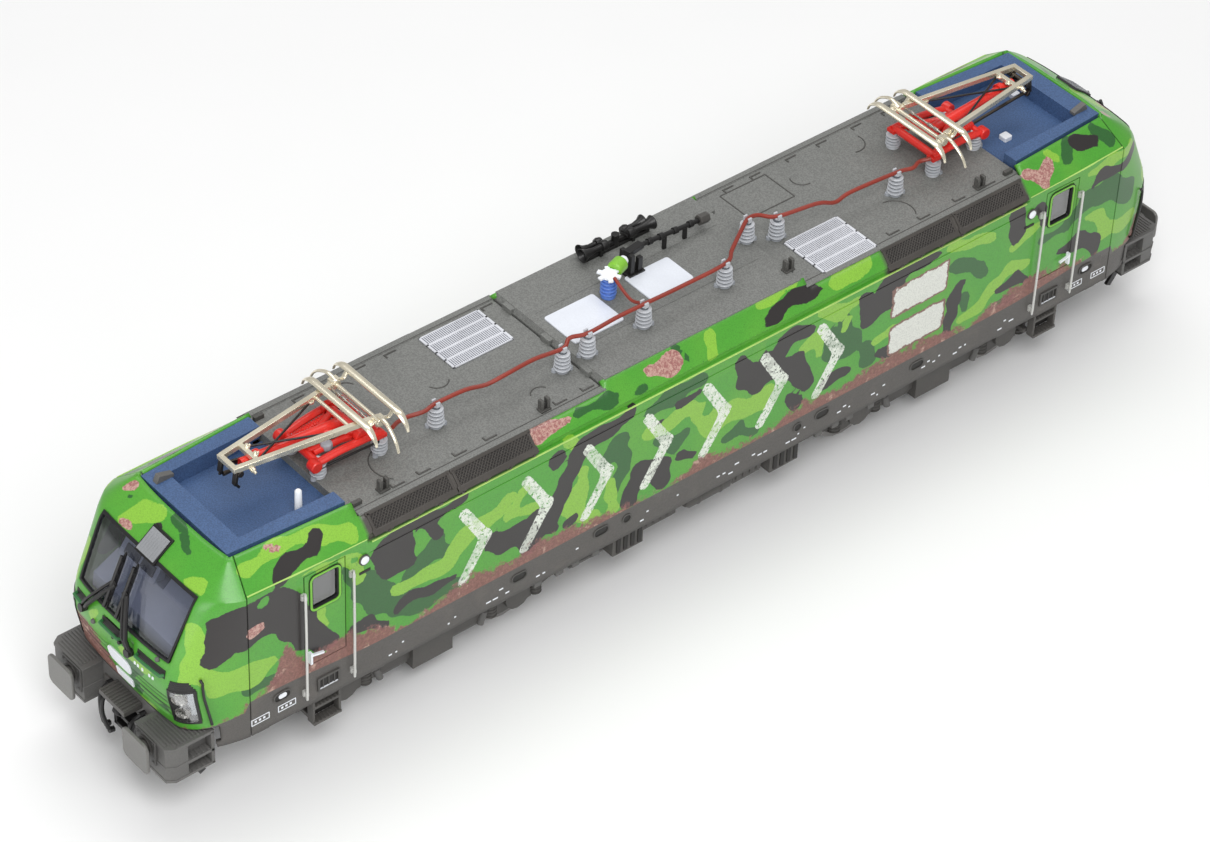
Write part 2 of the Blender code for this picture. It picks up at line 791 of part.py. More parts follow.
def build_gearbox():
    """Die-cast gear housing with its worm tower, open below for the axles."""
    end = 22.6
    low, shoulder, deck = 2.7, 12.0, 15.6
    tower = 5.7
    tower_z = DRIVE_Z + 3.6
    right = ((end, low), (end, shoulder), (16.0, deck), (tower, deck), (tower, tower_z))
    outline = list(right) + [(-x, z) for x, z in reversed(right)]
    cavity = 1.6
    room = 0.8
    bore = BORE_R + 0.04
    housing = slab(outline, -5.1, 5.1, "XZ")
    housing = cut(housing, disc_tool((0, WORM_GEAR_Z), WORM_GEAR_R + room, cavity))
    for side in (-1, 1):
        x = side * HALF_WHEELBASE
        idler = (side * IDLER.x, IDLER.y)
        housing = cut(
            housing,
            disc_tool(idler, IDLER_R + room, cavity),
            disc_tool((x, AXLE_Z), AXLE_GEAR_R + room, cavity),
            block((x - 3.6, -cavity + 0.15, 1), (x + 3.6, cavity - 0.15, AXLE_Z)),
            block((x - bore, -8, 1), (x + bore, 8, AXLE_Z)),
            disc_tool((x, AXLE_Z), bore, 8),
            disc_tool(idler, BORE_R, 8),
        )
    tunnel = WORM_HALF + FIT
    return cut(
        housing,
        disc_tool((0, WORM_GEAR_Z), BORE_R, 8),
        block((-tunnel, -3.5, deck + 0.3), (tunnel, 3.5, tower_z + 5)),
        rod((-9, 0, DRIVE_Z), (9, 0, DRIVE_Z), BORE_R, 24),
    )


def build_gearbox_cover():
    return block((-22.4, -4.9, 1.7), (22.4, 4.9, 2.35), bevel=0.2)


def build_bogie_frame():
    """Side frames and head beams as one ring round the wheels, with axle boxes and spring seats."""
    right = ((26.8, 11.6), (19.5, 13.0))
    upper = list(right) + [(-x, y) for x, y in reversed(right)]
    outer = upper + [(x, -y) for x, y in reversed(upper)]
    box_y = (12.5, 13.9)
    ring = slab(outer, 5.2, 9.4, "XY")
    ring = cut(ring, block((-25.8, -10.7, 0), (25.8, 10.7, 20)))
    parts = [end_block(s, (23.0, 26), (-2.5, 2.5), (5.4, 8.6)) for s in (-1, 1)]
    for flank in (-1, 1):
        for x in (-HALF_WHEELBASE, HALF_WHEELBASE):
            parts.append(rod((x, flank * box_y[0], AXLE_Z), (x, flank * box_y[1], AXLE_Z), 2.5, 12))
        parts.append(flank_block(flank, (-4.0, 4.0), (11.5, 13.8), (3.4, 10.4)))
    return join(ring, *parts)


def at_bogie(obj, side):
    """Moves a piece built round the bogie's centre to its place, turned round for bogie 1."""
    if side < 0:
        turned_round(obj)
    obj.data.transform(Matrix.Translation((side * BOGIE_X * MM, 0, 0)))
    return obj


def build_bogies():
    for number, side in ((1, -1), (2, 1)):
        x = side * BOGIE_X
        centre = (x, 0, 0)
        finish(f"bogie_frame_{number}", at_bogie(build_bogie_frame(), side), "frame_grey", centre)
        finish(f"gearbox_{number}", at_bogie(build_gearbox(), side), "cast_weight", centre)
        finish(f"gearbox_cover_{number}", at_bogie(build_gearbox_cover(), side), "black_plastic", centre)
        finish(f"worm_{number}", at_bogie(build_worm(), side), "brass", (x, 0, DRIVE_Z))
        finish(f"worm_gear_{number}", at_bogie(build_worm_gear(), side), "gear_plastic", (x, 0, WORM_GEAR_Z))
        for end, build_side in (("a", -1), ("b", 1)):
            away = build_side * side
            idler = (x + away * IDLER.x, 0, IDLER.y)
            axle = (x + away * HALF_WHEELBASE, 0, AXLE_Z)
            gear_shape = at_bogie(build_idler(build_side), side)
            finish(f"idler_gear_{number}{end}", gear_shape, "gear_plastic", idler)
            wheels = at_bogie(build_wheelset(build_side), side)
            finish(f"wheelset_{number}{end}", wheels, "steel", axle)


# ---------------------------------------------------------------- buffer beams, buffers, couplers


def build_buffer_beam():
    """Head stock with two stepped buffer boxes, a centre step and the coupler's pivot pin."""
    half = ((97.8, 15.9), (104.0, 15.9), (106.9, 13.9), (106.9, 6.9), (101.5, 6.9), (97.8, 12.0))
    top = 16.0
    pivot = COUPLER_PIVOT_X
    boxes = [slab([(x, s * y) for x, y in half], COUPLER_Z, top, "XY") for s in (-1, 1)]
    plate = block((101.1, -7.7, 10.8), (103.2, 7.7, top - 0.2))
    tongue = block((pivot - 5, -11.0, 14.2), (102.3, 11.0, top - 0.4))
    step = block((102.6, -3.5, 13.2), (106.4, 3.5, 14.6))
    pin = rod((pivot, 0, COUPLER_Z - 1.3), (pivot, 0, 14.6), AXLE_R, 16)
    beam = join(plate, tongue, *boxes, step, pin)
    for s in (-1, 1):
        y = s * BUFFER_Y
        beam = cut(beam, rod((102.4, y, BUFFER_Z), (110, y, BUFFER_Z), BUFFER_STEM_R + FIT, 16))
        for step_z in ((11.9, 15.1), (9.0, 11.3)):
            beam = cut(beam, flank_block(s, (98.5, 103.0), (14.3, 17), step_z))
    return beam


def build_buffer():
    """Sprung buffer: a rounded rectangular plate on a stem that slides into the beam."""
    outline = []
    corner = 1.1
    half_y = 2.35
    half_z = 2.0
    for cy, cz, start in (
        (half_y, half_z, 0),
        (-half_y, half_z, 90),
        (-half_y, -half_z, 180),
        (half_y, -half_z, 270),
    ):
        for step in range(4):
            angle = math.radians(start + 30 * step)
            y = BUFFER_Y + cy + corner * math.cos(angle)
            z = BUFFER_Z + cz + corner * math.sin(angle)
            outline.append((y, z))
    back = BUFFER_FACE_X - 0.9
    plate = slab(outline, back, BUFFER_FACE_X, "YZ")
    stem = rod((103.6, BUFFER_Y, BUFFER_Z), (back + 0.3, BUFFER_Y, BUFFER_Z), BUFFER_STEM_R, 16)
    return join(plate, stem)


def build_buffers():
    """Buffers 1 and 2 at cab 1, 3 and 4 at cab 2; the odd ones are on the -Y side."""
    for number, end, side in ((1, -1, -1), (2, -1, 1), (3, 1, -1), (4, 1, 1)):
        buffer = build_buffer()
        if side * end < 0:
            buffer.data.transform(Matrix.Translation((0, -2 * BUFFER_Y * MM, 0)))
        if end < 0:
            turned_round(buffer)
        finish(f"buffer_{number}", buffer, "frame_grey", (end * BUFFER_FACE_X, side * BUFFER_Y, BUFFER_Z))


def build_coupler_pocket():
    """Swinging arm on its pivot eye, with the slot that takes a plug-in coupling head."""
    x = COUPLER_PIVOT_X
    low = 7.7
    eye = rod((x, 0, low), (x, 0, low + 1.9), 2.3, 16)
    arm = block((x, -1.4, low), (x + 7, 1.4, low + 1.7))
    box = block((x + 5.6, -2.3, COUPLER_Z - 1.7), (x + 10.6, 2.3, COUPLER_Z + 1.7))
    slot = block((x + 7.2, -1.6, COUPLER_Z - 0.85), (x + 12, 1.6, COUPLER_Z + 0.85))
    pivot = rod((x, 0, 5), (x, 0, 12), BORE_R, 16)
    return cut(join(eye, arm, box), slot, pivot)


# ---------------------------------------------------------------- roof equipment

BUSBAR_POSTS = (
    (-47.7, -5.3),
    (-23.7, -6.9),
    (-19.1, -7.5),
    (-7.3, -7.3),
    (9.8, -7.3),
    (20.3, -0.7),
    (25.8, -2.0),
    (49.6, -5.1),
)
BUSBAR_END = (56.6, -5.9)
POST_HEIGHT = 4.6
POST_R = (1.25, 0.9)
ROOF_GAP = 0.1


def deck_top(x):
    return DECK_CENTRE_Z if abs(x) < DECK_STEP_X else DECK_Z


def build_busbar():
    """High-voltage line along the roof on its post insulators."""
    end_x, end_y = BUSBAR_END
    end_z = DECK_Z + POST_HEIGHT + 0.2
    posts = []
    line = [(-end_x, end_y, end_z)]
    for x, y in BUSBAR_POSTS:
        foot = deck_top(x) + ROOF_GAP
        posts.append(rod((x, y, foot), (x, y, foot + POST_HEIGHT), POST_R[0], 10, POST_R[1]))
        line.append((x, y, foot + POST_HEIGHT - 0.5))
    line.append((end_x, end_y, end_z))
    return join(wire(line, 0.45), *posts)


def build_main_breaker():
    """Breaker drum lying on two supports, with its long contact arm."""
    low = DECK_CENTRE_Z + ROOF_GAP
    drum_z = 48.0
    left = (-6.8, 2.3)
    right = (3.2, 5.8)
    post = rod((*left, low), (*left, drum_z + 0.9), 1.1, 10)
    drum = rod((*left, drum_z), (*right, drum_z), 0.9, 10)
    foot = block((-1.2, 4.0, low), (1.8, 6.0, drum_z))
    arm = rod((2.5, 5.8, drum_z - 0.4), (15.4, 6.1, drum_z - 1.6), 0.5, 8)
    return join(post, drum, foot, arm)


def build_air_horns():
    """Two horns that point opposite ways on one base strip."""
    y = 11.3
    low = DECK_CENTRE_Z + ROOF_GAP
    centre_z = low + 1.5
    parts = [block((-4.6, 10.6, low), (9.4, 12.0, low + 0.8))]
    for x, direction in ((-1.5, -1), (6.0, 1)):
        parts.append(rod((x, y, low + 0.4), (x, y, centre_z + 0.6), 0.7, 10))
        parts.append(rod((x, y, centre_z), (x + 3.4 * direction, y, centre_z), 0.7, 10, 1.2))
    return join(*parts)


# ---------------------------------------------------------------- pantographs


def build_pantograph_base():
    """Base frame with the lower arm's bearings and the rod's bearing, on three post insulators."""
    x, z = PANTO_PIVOT
    rod_x, rod_z = PANTO_ROD_PIVOT
    rail_y = 4.6
    low, high = 46.9, 47.6
    drop_z = (44.2, 44.9)
    foot_z = DECK_Z + ROOF_GAP
    rails = [block((x - 3.6, y - 0.5, low), (x + 8.6, y + 0.5, high)) for y in (-rail_y, rail_y)]
    cross = block((x - 3.6, -5.0, low + 0.05), (x - 2.6, 5.0, high - 0.05))
    dropped = block((x + 7.6, -5.0, drop_z[0]), (x + 8.5, 5.0, drop_z[1]))
    riser_z = (drop_z[0] + 0.1, high - 0.1)
    risers = [flank_block(s, (x + 7.5, x + 8.4), (4.15, 4.95), riser_z) for s in (-1, 1)]
    bearings = []
    for y in (-rail_y, rail_y):
        bearings.append(block((x - 0.9, y - 0.5, low + 0.3), (x + 0.9, y + 0.5, high + 1)))
    rod_bearing = block((rod_x - 0.8, -2.4, rod_z - 0.4), (rod_x + 0.8, -1.7, high - 0.1))
    bridge = block((rod_x - 0.8, -5.0, low), (rod_x + 0.8, -1.7, high - 0.1))
    feet = ((x - 3.1, -4.9), (x - 3.1, 4.9), (x + 7.6, 3.6))
    posts = [rod((px, py, foot_z), (px, py, low + 0.3), 1.3, 10, 1.0) for px, py in feet]
    base = join(rails[0], cross, rails[1], *risers, dropped, *bearings, rod_bearing, bridge, *posts)
    pivots = rod((x, -8, z), (x, 8, z), 0.5, 12)
    return cut(base, pivots, rod((rod_x, -3, rod_z), (rod_x, -1, rod_z), 0.33, 8))


def build_lower_arm():
    x, z = PANTO_PIVOT
    ex, ez = PANTO_ELBOW
    shaft = rod((x, -5.0, z), (x, 5.0, z), 0.42, 12)
    hub = rod((x, -3.9, z), (x, 3.9, z), 1.0, 12)
    tube = rod((x, 0, z), (ex, 0, ez), 1.0, 12, 0.75)
    eye = rod((ex, -1.0, ez), (ex, 1.0, ez), 0.85, 12)
    arm = join(tube, hub, shaft, eye)
    return cut(arm, rod((ex, -4, ez), (ex, 4, ez), 0.42, 12))


def build_upper_arm():
    """Two tubes that spread from the elbow to the head, with cross tubes and the rod's crank."""
    ex, ez = PANTO_ELBOW
    hx, hz = PANTO_HEAD
    top = 1.0
    bars = [
        wire(
            (
                (ex + 0.8, s * FRAME_HALF_NARROW, ez + top),
                (hx + 1.4, s * FRAME_HALF_WIDE, hz + 0.2),
                (hx, s * FRAME_HALF_WIDE, hz),
            ),
            0.45,
        )
        for s in (-1, 1)
    ]
    pin_half = FRAME_HALF_NARROW + 0.3
    pin = rod((ex, -pin_half, ez), (ex, pin_half, ez), 0.34, 12)
    lugs = []
    for y in (-FRAME_HALF_NARROW, FRAME_HALF_NARROW):
        lugs.append(block((ex - 0.5, y - 0.45, ez - 0.5), (ex + 1.15, y + 0.55, ez + 1.5)))
    crosses = [
        rod((ex + 0.9, -1.9, ez + top + 0.3), (ex + 0.9, 1.9, ez + top + 0.3), 0.4, 8),
        rod((ex - 3.1, -2.4, ez + top + 0.05), (ex - 3.1, 2.4, ez + top + 0.05), 0.35, 8),
        rod((hx, -5.6, hz), (hx, 5.6, hz), 0.4, 12),
    ]
    crank = block((ex - 0.2, -2.3, PANTO_ROD_END[1] - 0.6), (ex + 1.6, -1.5, ez + 0.2))
    return join(bars[0], crosses[0], bars[1], *crosses[1:], *lugs, pin, crank)


def build_head():
    """Head: end carriers on the cross tube, with two contact strips that turn down into horns."""
    hx, hz = PANTO_HEAD
    first, last = HEAD_STRIP_X
    half = 0.4
    carriers = []
    for y in (-STRIP_HALF, STRIP_HALF):
        arm = block((first - half, y - half, hz - 0.5), (last + half, y + half, hz + 0.5))
        ears = [block((x - half, y - half, hz), (x + half, y + half, 51.6)) for x in HEAD_STRIP_X]
        carriers.append(join(arm, *ears))
    strips = []
    for x in HEAD_STRIP_X:
        path = [(x, -9.5, 49.1), (x, -8.9, 50.2), (x, -7.9, 51.1), (x, -STRIP_HALF, 51.5)]
        path += [(px, -py, pz) for px, py, pz in reversed(path)]
        strips.append(wire(path, 0.45))
    head = join(strips[0], carriers[0], strips[1], carriers[1])
    return cut(head, rod((hx, -5.8, hz), (hx, 5.8, hz), 0.6, 12))


def build_thrust_rod():
    start = (PANTO_ROD_PIVOT[0], -1.2, PANTO_ROD_PIVOT[1])
    end = (PANTO_ROD_END[0] - 0.9, -1.2, PANTO_ROD_END[1] - 0.9)
    shank = rod(start, end, 0.32, 8)
    pin = rod((start[0], -2.3, start[2]), (start[0], -0.9, start[2]), 0.24, 8)
    return join(shank, pin)


def build_pantographs():
    pivot = (PANTO_PIVOT[0], 0, PANTO_PIVOT[1])
    elbow = (PANTO_ELBOW[0], 0, PANTO_ELBOW[1])
    head = (PANTO_HEAD[0], 0, PANTO_HEAD[1])
    rod_pivot = (PANTO_ROD_PIVOT[0], 0, PANTO_ROD_PIVOT[1])
    both_ends("pantograph_base", build_pantograph_base, "red_paint", pivot)
    both_ends("pantograph_lower_arm", build_lower_arm, "red_paint", pivot)
    both_ends("pantograph_upper_arm", build_upper_arm, "panto_metal", elbow)
    both_ends("pantograph_head", build_head, "panto_metal", head)
    both_ends("pantograph_rod", build_thrust_rod, "black_plastic", rod_pivot)


# ---------------------------------------------------------------- assembly

clear_scene()
PARTS = make_collection(ASSEMBLY)
WORK = make_collection("construction")
MATERIALS = {name: make_material(name) for name in COLOURS}

finish("body_shell", build_body_shell(), "camo_green")
both_ends("cab_glazing", build_cab_glazing, "glazing")
both_ends("cab_roof", build_cab_roof, "roof_blue")
finish("roof_hatch_1", build_hatch(-69.4, -DECK_STEP_X - FIT, DECK_Z), "roof_grey")
finish("roof_hatch_2", build_hatch(-DECK_STEP_X, DECK_STEP_X, DECK_CENTRE_Z), "roof_grey")
finish("roof_hatch_3", build_hatch(DECK_STEP_X + FIT, 69.4, DECK_Z), "roof_grey")
both_ends("cab_interior", build_cab_interior, "interior_grey")
both_ends("light_guide", build_light_guide, "light_guide")
finish("circuit_board", build_circuit_board(), "board_green")
finish("equipment_box", build_equipment_box(), "frame_grey")
finish("chassis_frame", build_chassis_frame(), "cast_weight")
finish("motor_can", build_motor_can(), "steel", (0, 0, DRIVE_Z))
finish("motor_rotor", build_motor_rotor(), "steel", (0, 0, DRIVE_Z))
both_ends("flywheel", build_flywheel, "brass", (0, 0, DRIVE_Z))
both_ends("cardan_shaft", build_cardan_shaft, "black_plastic", (0, 0, DRIVE_Z))
build_bogies()
both_ends("buffer_beam", build_buffer_beam, "frame_grey")
build_buffers()
both_ends("coupler_pocket", build_coupler_pocket, "black_plastic", (COUPLER_PIVOT_X, 0, COUPLER_Z))
finish("roof_busbar", build_busbar(), "busbar_red")
finish("main_breaker", build_main_breaker(), "interior_grey")
finish("air_horns", build_air_horns(), "black_plastic")
build_pantographs()
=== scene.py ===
"""Looks of the H0 electric locomotive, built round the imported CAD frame. Lengths here are millimetres."""

import math
import random

import bmesh
import bpy
import numpy as np
from mathutils import Matrix, Vector


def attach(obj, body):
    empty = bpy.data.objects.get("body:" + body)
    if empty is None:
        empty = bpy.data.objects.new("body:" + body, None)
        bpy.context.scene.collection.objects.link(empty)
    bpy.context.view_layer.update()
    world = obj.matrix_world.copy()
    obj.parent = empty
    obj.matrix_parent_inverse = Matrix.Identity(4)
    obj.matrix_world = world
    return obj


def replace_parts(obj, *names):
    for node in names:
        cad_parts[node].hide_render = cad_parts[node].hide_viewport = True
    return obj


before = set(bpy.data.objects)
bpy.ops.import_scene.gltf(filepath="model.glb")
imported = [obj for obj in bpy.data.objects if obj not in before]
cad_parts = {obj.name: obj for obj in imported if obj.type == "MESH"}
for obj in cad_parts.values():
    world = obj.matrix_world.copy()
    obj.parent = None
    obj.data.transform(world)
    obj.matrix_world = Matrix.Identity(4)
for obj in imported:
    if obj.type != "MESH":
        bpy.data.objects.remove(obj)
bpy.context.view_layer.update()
MM = 0.001
ROOT = "locomotive_body"
HALF_TURN = Matrix.Rotation(math.pi, 4, "Z")
ENDS = ((1, HALF_TURN), (2, Matrix()))
SIDES = (-1, 1)
ALONG = (1, 0, 0)
ASIDE = (0, 1, 0)
UP = (0, 0, 1)

# Body, the same figures as the CAD
SIDE_Y = 17.2
SILL_Z = 11.8
NOSE_BOTTOM_Z = 16.3
CANT_Z = 40.4
DECK_Z = 43.1
DECK_CENTRE_Z = 44.3
DECK_STEP_X = 21.2
TAPER_X = 92.6
DECK_END_X = 70.0
CAB_ROOF_Z = 44.7
SEAM_X = 92.7
DOOR_X = (74.2, 81.9)
DOOR_Z = (20.2, 39.0)
DOOR_WINDOW = (75.3, 80.7, 31.3, 38.1)
BOGIE_X = 54.6
HALF_WHEELBASE = 17.25
AXLE_Z = 7.2
BUFFER_Y = 10.06
BUFFER_Z = 13.2
BUSBAR_POSTS = (
    (-47.7, -5.3),
    (-23.7, -6.9),
    (-19.1, -7.5),
    (-7.3, -7.3),
    (9.8, -7.3),
    (20.3, -0.7),
    (25.8, -2.0),
    (49.6, -5.1),
)


# ---------------------------------------------------------------- materials


def linear(colour):
    """Screen colour, 0 to 255, as the linear values a shader takes."""
    shares = [c / 255 for c in colour]
    return tuple(c / 12.92 if c <= 0.04045 else ((c + 0.055) / 1.055) ** 2.4 for c in shares)


class Shader:
    """Short names for the nodes that the materials are built from. Sizes are in millimetres."""

    def __init__(self, name):
        self.material = bpy.data.materials.new(name)
        self.material.use_nodes = True
        self.tree = self.material.node_tree
        self.surface = self.tree.nodes["Principled BSDF"]
        self.place = self.tree.nodes.new("ShaderNodeTexCoord").outputs["Object"]

    def node(self, kind, **values):
        node = self.tree.nodes.new(kind)
        for key, value in values.items():
            setattr(node, key, value)
        return node

    def link(self, source, target):
        if isinstance(source, (int, float)):
            target.default_value = source
        elif isinstance(source, tuple):
            target.default_value = (*source, 1.0) if len(source) == 3 else source
        else:
            self.tree.links.new(source, target)

    def noise(self, size, detail=3.0, roughness=0.55, stretch=(1, 1, 1), distortion=0.0, seed=0.0):
        scale = self.node("ShaderNodeVectorMath", operation="MULTIPLY")
        self.link(self.place, scale.inputs[0])
        scale.inputs[1].default_value = [1 / (size * MM * s) for s in stretch]
        texture = self.node("ShaderNodeTexNoise", noise_dimensions="4D")
        self.link(scale.outputs[0], texture.inputs["Vector"])
        texture.inputs["W"].default_value = seed
        texture.inputs["Scale"].default_value = 1.0
        texture.inputs["Detail"].default_value = detail
        texture.inputs["Roughness"].default_value = roughness
        texture.inputs["Distortion"].default_value = distortion
        return texture.outputs["Fac"]

    def coordinate(self, axis):
        split = self.node("ShaderNodeSeparateXYZ")
        self.link(self.place, split.inputs[0])
        return self.math("MULTIPLY", split.outputs[axis], 1 / MM)

    def math(self, operation, a, b=0.0, clamp=False):
        node = self.node("ShaderNodeMath", operation=operation, use_clamp=clamp)
        self.link(a, node.inputs[0])
        self.link(b, node.inputs[1])
        return node.outputs[0]

    def ramp(self, value, low, high, start=0.0, end=1.0):
        node = self.node("ShaderNodeMapRange", interpolation_type="SMOOTHSTEP")
        self.link(value, node.inputs["Value"])
        node.inputs["From Min"].default_value = low
        node.inputs["From Max"].default_value = high
        node.inputs["To Min"].default_value = start
        node.inputs["To Max"].default_value = end
        return node.outputs["Result"]

    def mix(self, share, a, b):
        node = self.node("ShaderNodeMix", data_type="RGBA")
        self.link(share, node.inputs["Factor"])
        self.link(a, node.inputs[6])
        self.link(b, node.inputs[7])
        return node.outputs[2]

    def attribute(self, name):
        return self.node("ShaderNodeAttribute", attribute_name=name).outputs["Fac"]

    def bump(self, height, depth, previous=None):
        node = self.node("ShaderNodeBump")
        self.link(height, node.inputs["Height"])
        node.inputs["Distance"].default_value = depth * MM
        if previous is not None:
            self.link(previous, node.inputs["Normal"])
        return node.outputs[0]

    def finish(self, colour, roughness, metallic=0.0, normal=None, coat=0.0):
        self.link(colour, self.surface.inputs["Base Color"])
        self.link(roughness, self.surface.inputs["Roughness"])
        self.surface.inputs["Metallic"].default_value = metallic
        self.surface.inputs["Coat Weight"].default_value = coat
        self.surface.inputs["Coat Roughness"].default_value = 0.15
        if normal is not None:
            self.link(normal, self.surface.inputs["Normal"])
        return self.material


def shaded(colour, factor):
    return tuple(min(c * factor, 1.0) for c in colour)


def painted(name, colour, roughness=0.5, metallic=0.0, tint=0.12, grain=0.012, grain_size=0.25, coat=0.0):
    """Paint or moulded plastic with cloudy tone, fine grain in tone and relief, and uneven gloss."""
    s = Shader(name)
    base = linear(colour)
    cloud = s.noise(7.0, detail=2.0, seed=1.0)
    fine = s.noise(grain_size, detail=2.0, seed=2.0)
    tone = s.mix(s.ramp(cloud, 0.3, 0.7), shaded(base, 1 - tint), shaded(base, 1 + tint))
    tone = s.mix(s.ramp(fine, 0.35, 0.65, 0.0, 0.5), tone, shaded(base, 1 - 1.5 * tint))
    gloss = s.ramp(cloud, 0.2, 0.8, roughness - 0.06, roughness + 0.06)
    return s.finish(tone, gloss, metallic, s.bump(fine, grain), coat)


def brushed(name, colour, roughness=0.28, stretch=(8, 1, 1)):
    """Metal with fine lines along one axis and light tarnish."""
    s = Shader(name)
    base = linear(colour)
    lines = s.noise(0.18, detail=2.0, stretch=stretch, seed=3.0)
    stain = s.noise(6.0, detail=3.0, seed=4.0)
    tone = s.mix(s.ramp(stain, 0.4, 0.75, 0.0, 0.4), base, shaded(base, 0.7))
    gloss = s.ramp(lines, 0.3, 0.7, roughness - 0.06, roughness + 0.08)
    return s.finish(tone, gloss, 1.0, s.bump(lines, 0.0012))


def roof_paint(name, colour):
    """Matt anti-slip paint with a dense salt-and-pepper grain and faint grime."""
    s = Shader(name)
    base = linear(colour)
    speck = s.noise(0.24, detail=2.0, roughness=0.6, seed=5.0)
    grime = s.noise(16.0, detail=4.0, roughness=0.6, seed=6.0)
    tone = s.mix(s.ramp(speck, 0.36, 0.64), shaded(base, 0.8), shaded(base, 1.2))
    tone = s.mix(s.ramp(grime, 0.45, 0.8, 0.0, 0.35), tone, shaded(base, 0.6))
    return s.finish(tone, s.ramp(grime, 0.3, 0.7, 0.5, 0.66), 0.0, s.bump(speck, 0.014))


def clear(name, tint, gloss=0.12):
    """Thin clear glazing: mostly see-through, with a soft reflection that grows at glancing angles."""
    s = Shader(name)
    through = s.node("ShaderNodeBsdfTransparent")
    through.inputs["Color"].default_value = (*tint, 1.0)
    shine = s.node("ShaderNodeBsdfGlossy")
    haze = s.noise(6.0, seed=8.0)
    s.link(s.ramp(haze, 0.3, 0.7, 0.02, 0.05), shine.inputs["Roughness"])
    edge = s.node("ShaderNodeLayerWeight")
    edge.inputs["Blend"].default_value = 0.35
    share = s.ramp(edge.outputs["Facing"], 0.0, 1.0, gloss, gloss + 0.4)
    both = s.node("ShaderNodeMixShader")
    s.link(share, both.inputs[0])
    s.link(through.outputs[0], both.inputs[1])
    s.link(shine.outputs[0], both.inputs[2])
    s.link(both.outputs[0], s.tree.nodes["Material Output"].inputs["Surface"])
    return s.material


LIME = (136, 190, 62)
GREEN = (76, 158, 48)
DARK_GREEN = (44, 98, 44)
BLACK_BROWN = (43, 39, 39)
MUD = (158, 104, 100)
MUD_PALE = (196, 158, 146)
SILL_GREY = (88, 85, 82)
PALE = (228, 234, 222)
RUST = (128, 92, 82)


def camouflage():
    """Printed camouflage. The patch outlines are distances stored on the mesh; the rest is procedural."""
    s = Shader("camouflage")
    x = s.coordinate("X")
    z = s.coordinate("Z")
    ragged = s.math("MULTIPLY", s.math("SUBTRACT", s.noise(0.5, detail=3.0, seed=9.0), 0.5), 0.35)
    torn = s.math("SUBTRACT", s.noise(2.2, detail=6.0, roughness=0.75, seed=10.0), 0.5)

    def inside(name, edge=ragged):
        return s.ramp(s.math("ADD", s.attribute(name), edge), -0.05, 0.05, 1.0, 0.0)

    tone = linear(GREEN)
    fade = s.noise(14.0, detail=2.0, seed=11.0)
    tone = s.mix(s.ramp(fade, 0.4, 0.75, 0.0, 0.2), tone, linear(LIME))
    for patch, colour in (("dark", DARK_GREEN), ("lime", LIME)):
        tone = s.mix(inside("camo_" + patch), tone, linear(colour))
    dabs = s.noise(0.9, detail=5.0, roughness=0.8, stretch=(0.7, 0.7, 1.6), seed=12.0)
    tone = s.mix(s.ramp(dabs, 0.64, 0.67, 0.0, 0.7), tone, linear(DARK_GREEN))
    tone = s.mix(inside("camo_black"), tone, linear(BLACK_BROWN))
    tone = s.mix(inside("camo_spot"), tone, linear(GREEN))

    pale = s.math("MULTIPLY", inside("pale"), s.ramp(s.noise(0.75, 6.0, 0.8, seed=13.0), 0.43, 0.47))
    blots = s.ramp(s.noise(4.5, detail=3.0, seed=14.0), 0.36, 0.5)
    wear = s.math("MAXIMUM", s.math("MULTIPLY", pale, blots), s.math("MULTIPLY", pale, 0.72))
    tone = s.mix(wear, tone, linear(PALE))

    splash = s.math("ADD", s.attribute("mud"), s.math("MULTIPLY", torn, 9.0))
    crumbs = s.ramp(s.noise(0.55, detail=4.0, roughness=0.8, seed=15.0), 0.3, 0.62)
    earth = s.mix(crumbs, linear(MUD), shaded(linear(MUD), 0.62))
    earth = s.mix(s.ramp(s.noise(3.0, 5.0, 0.7, seed=16.0), 0.56, 0.66), earth, linear(MUD_PALE))
    soaked = s.math("MULTIPLY", s.ramp(splash, -0.9, 0.3, 1.0, 0.0), s.ramp(crumbs, 0.0, 0.3, 0.72, 0.96))
    tone = s.mix(soaked, tone, earth)
    patch = s.mix(s.ramp(s.noise(0.5, 2.0, 0.8, seed=17.0), 0.4, 0.6), linear(MUD_PALE), linear(MUD))
    tone = s.mix(inside("stone"), tone, patch)

    board_edge = s.math("MULTIPLY", torn, 1.6)
    tone = s.mix(inside("board", board_edge), tone, linear(RUST))
    sheet = s.math("ADD", s.attribute("board"), 0.45)
    face = s.ramp(s.math("ADD", sheet, s.math("MULTIPLY", torn, 2.6)), -0.1, 0.1, 1.0, 0.0)
    tone = s.mix(face, tone, linear((222, 224, 216)))

    grey = s.ramp(s.attribute("sill"), -0.06, 0.06, 1.0, 0.0)
    dusty = s.ramp(s.noise(5.0, 4.0, seed=18.0), 0.5, 0.8, 0.0, 0.3)
    dust = s.mix(dusty, linear(SILL_GREY), linear((120, 112, 104)))
    tone = s.mix(grey, tone, dust)
    tone = s.mix(s.attribute("channel"), tone, linear((84, 80, 76)))
    # black engraved seam lines; on the nose ribs the same black is painted shade in the rib valleys
    tone = s.mix(s.attribute("line"), tone, linear((22, 20, 20)))
    pixel = s.noise(0.16, detail=1.0, seed=19.0)
    tone = s.mix(s.ramp(pixel, 0.42, 0.66, 0.0, 0.2), tone, linear((30, 34, 26)))
    gloss = s.math("ADD", s.ramp(fade, 0.2, 0.8, 0.3, 0.4), s.math("MULTIPLY", soaked, 0.2))
    weave = s.bump(pixel, 0.008)
    return s.finish(tone, gloss, 0.0, s.bump(s.math("MULTIPLY", soaked, crumbs), 0.03, weave), 0.12)


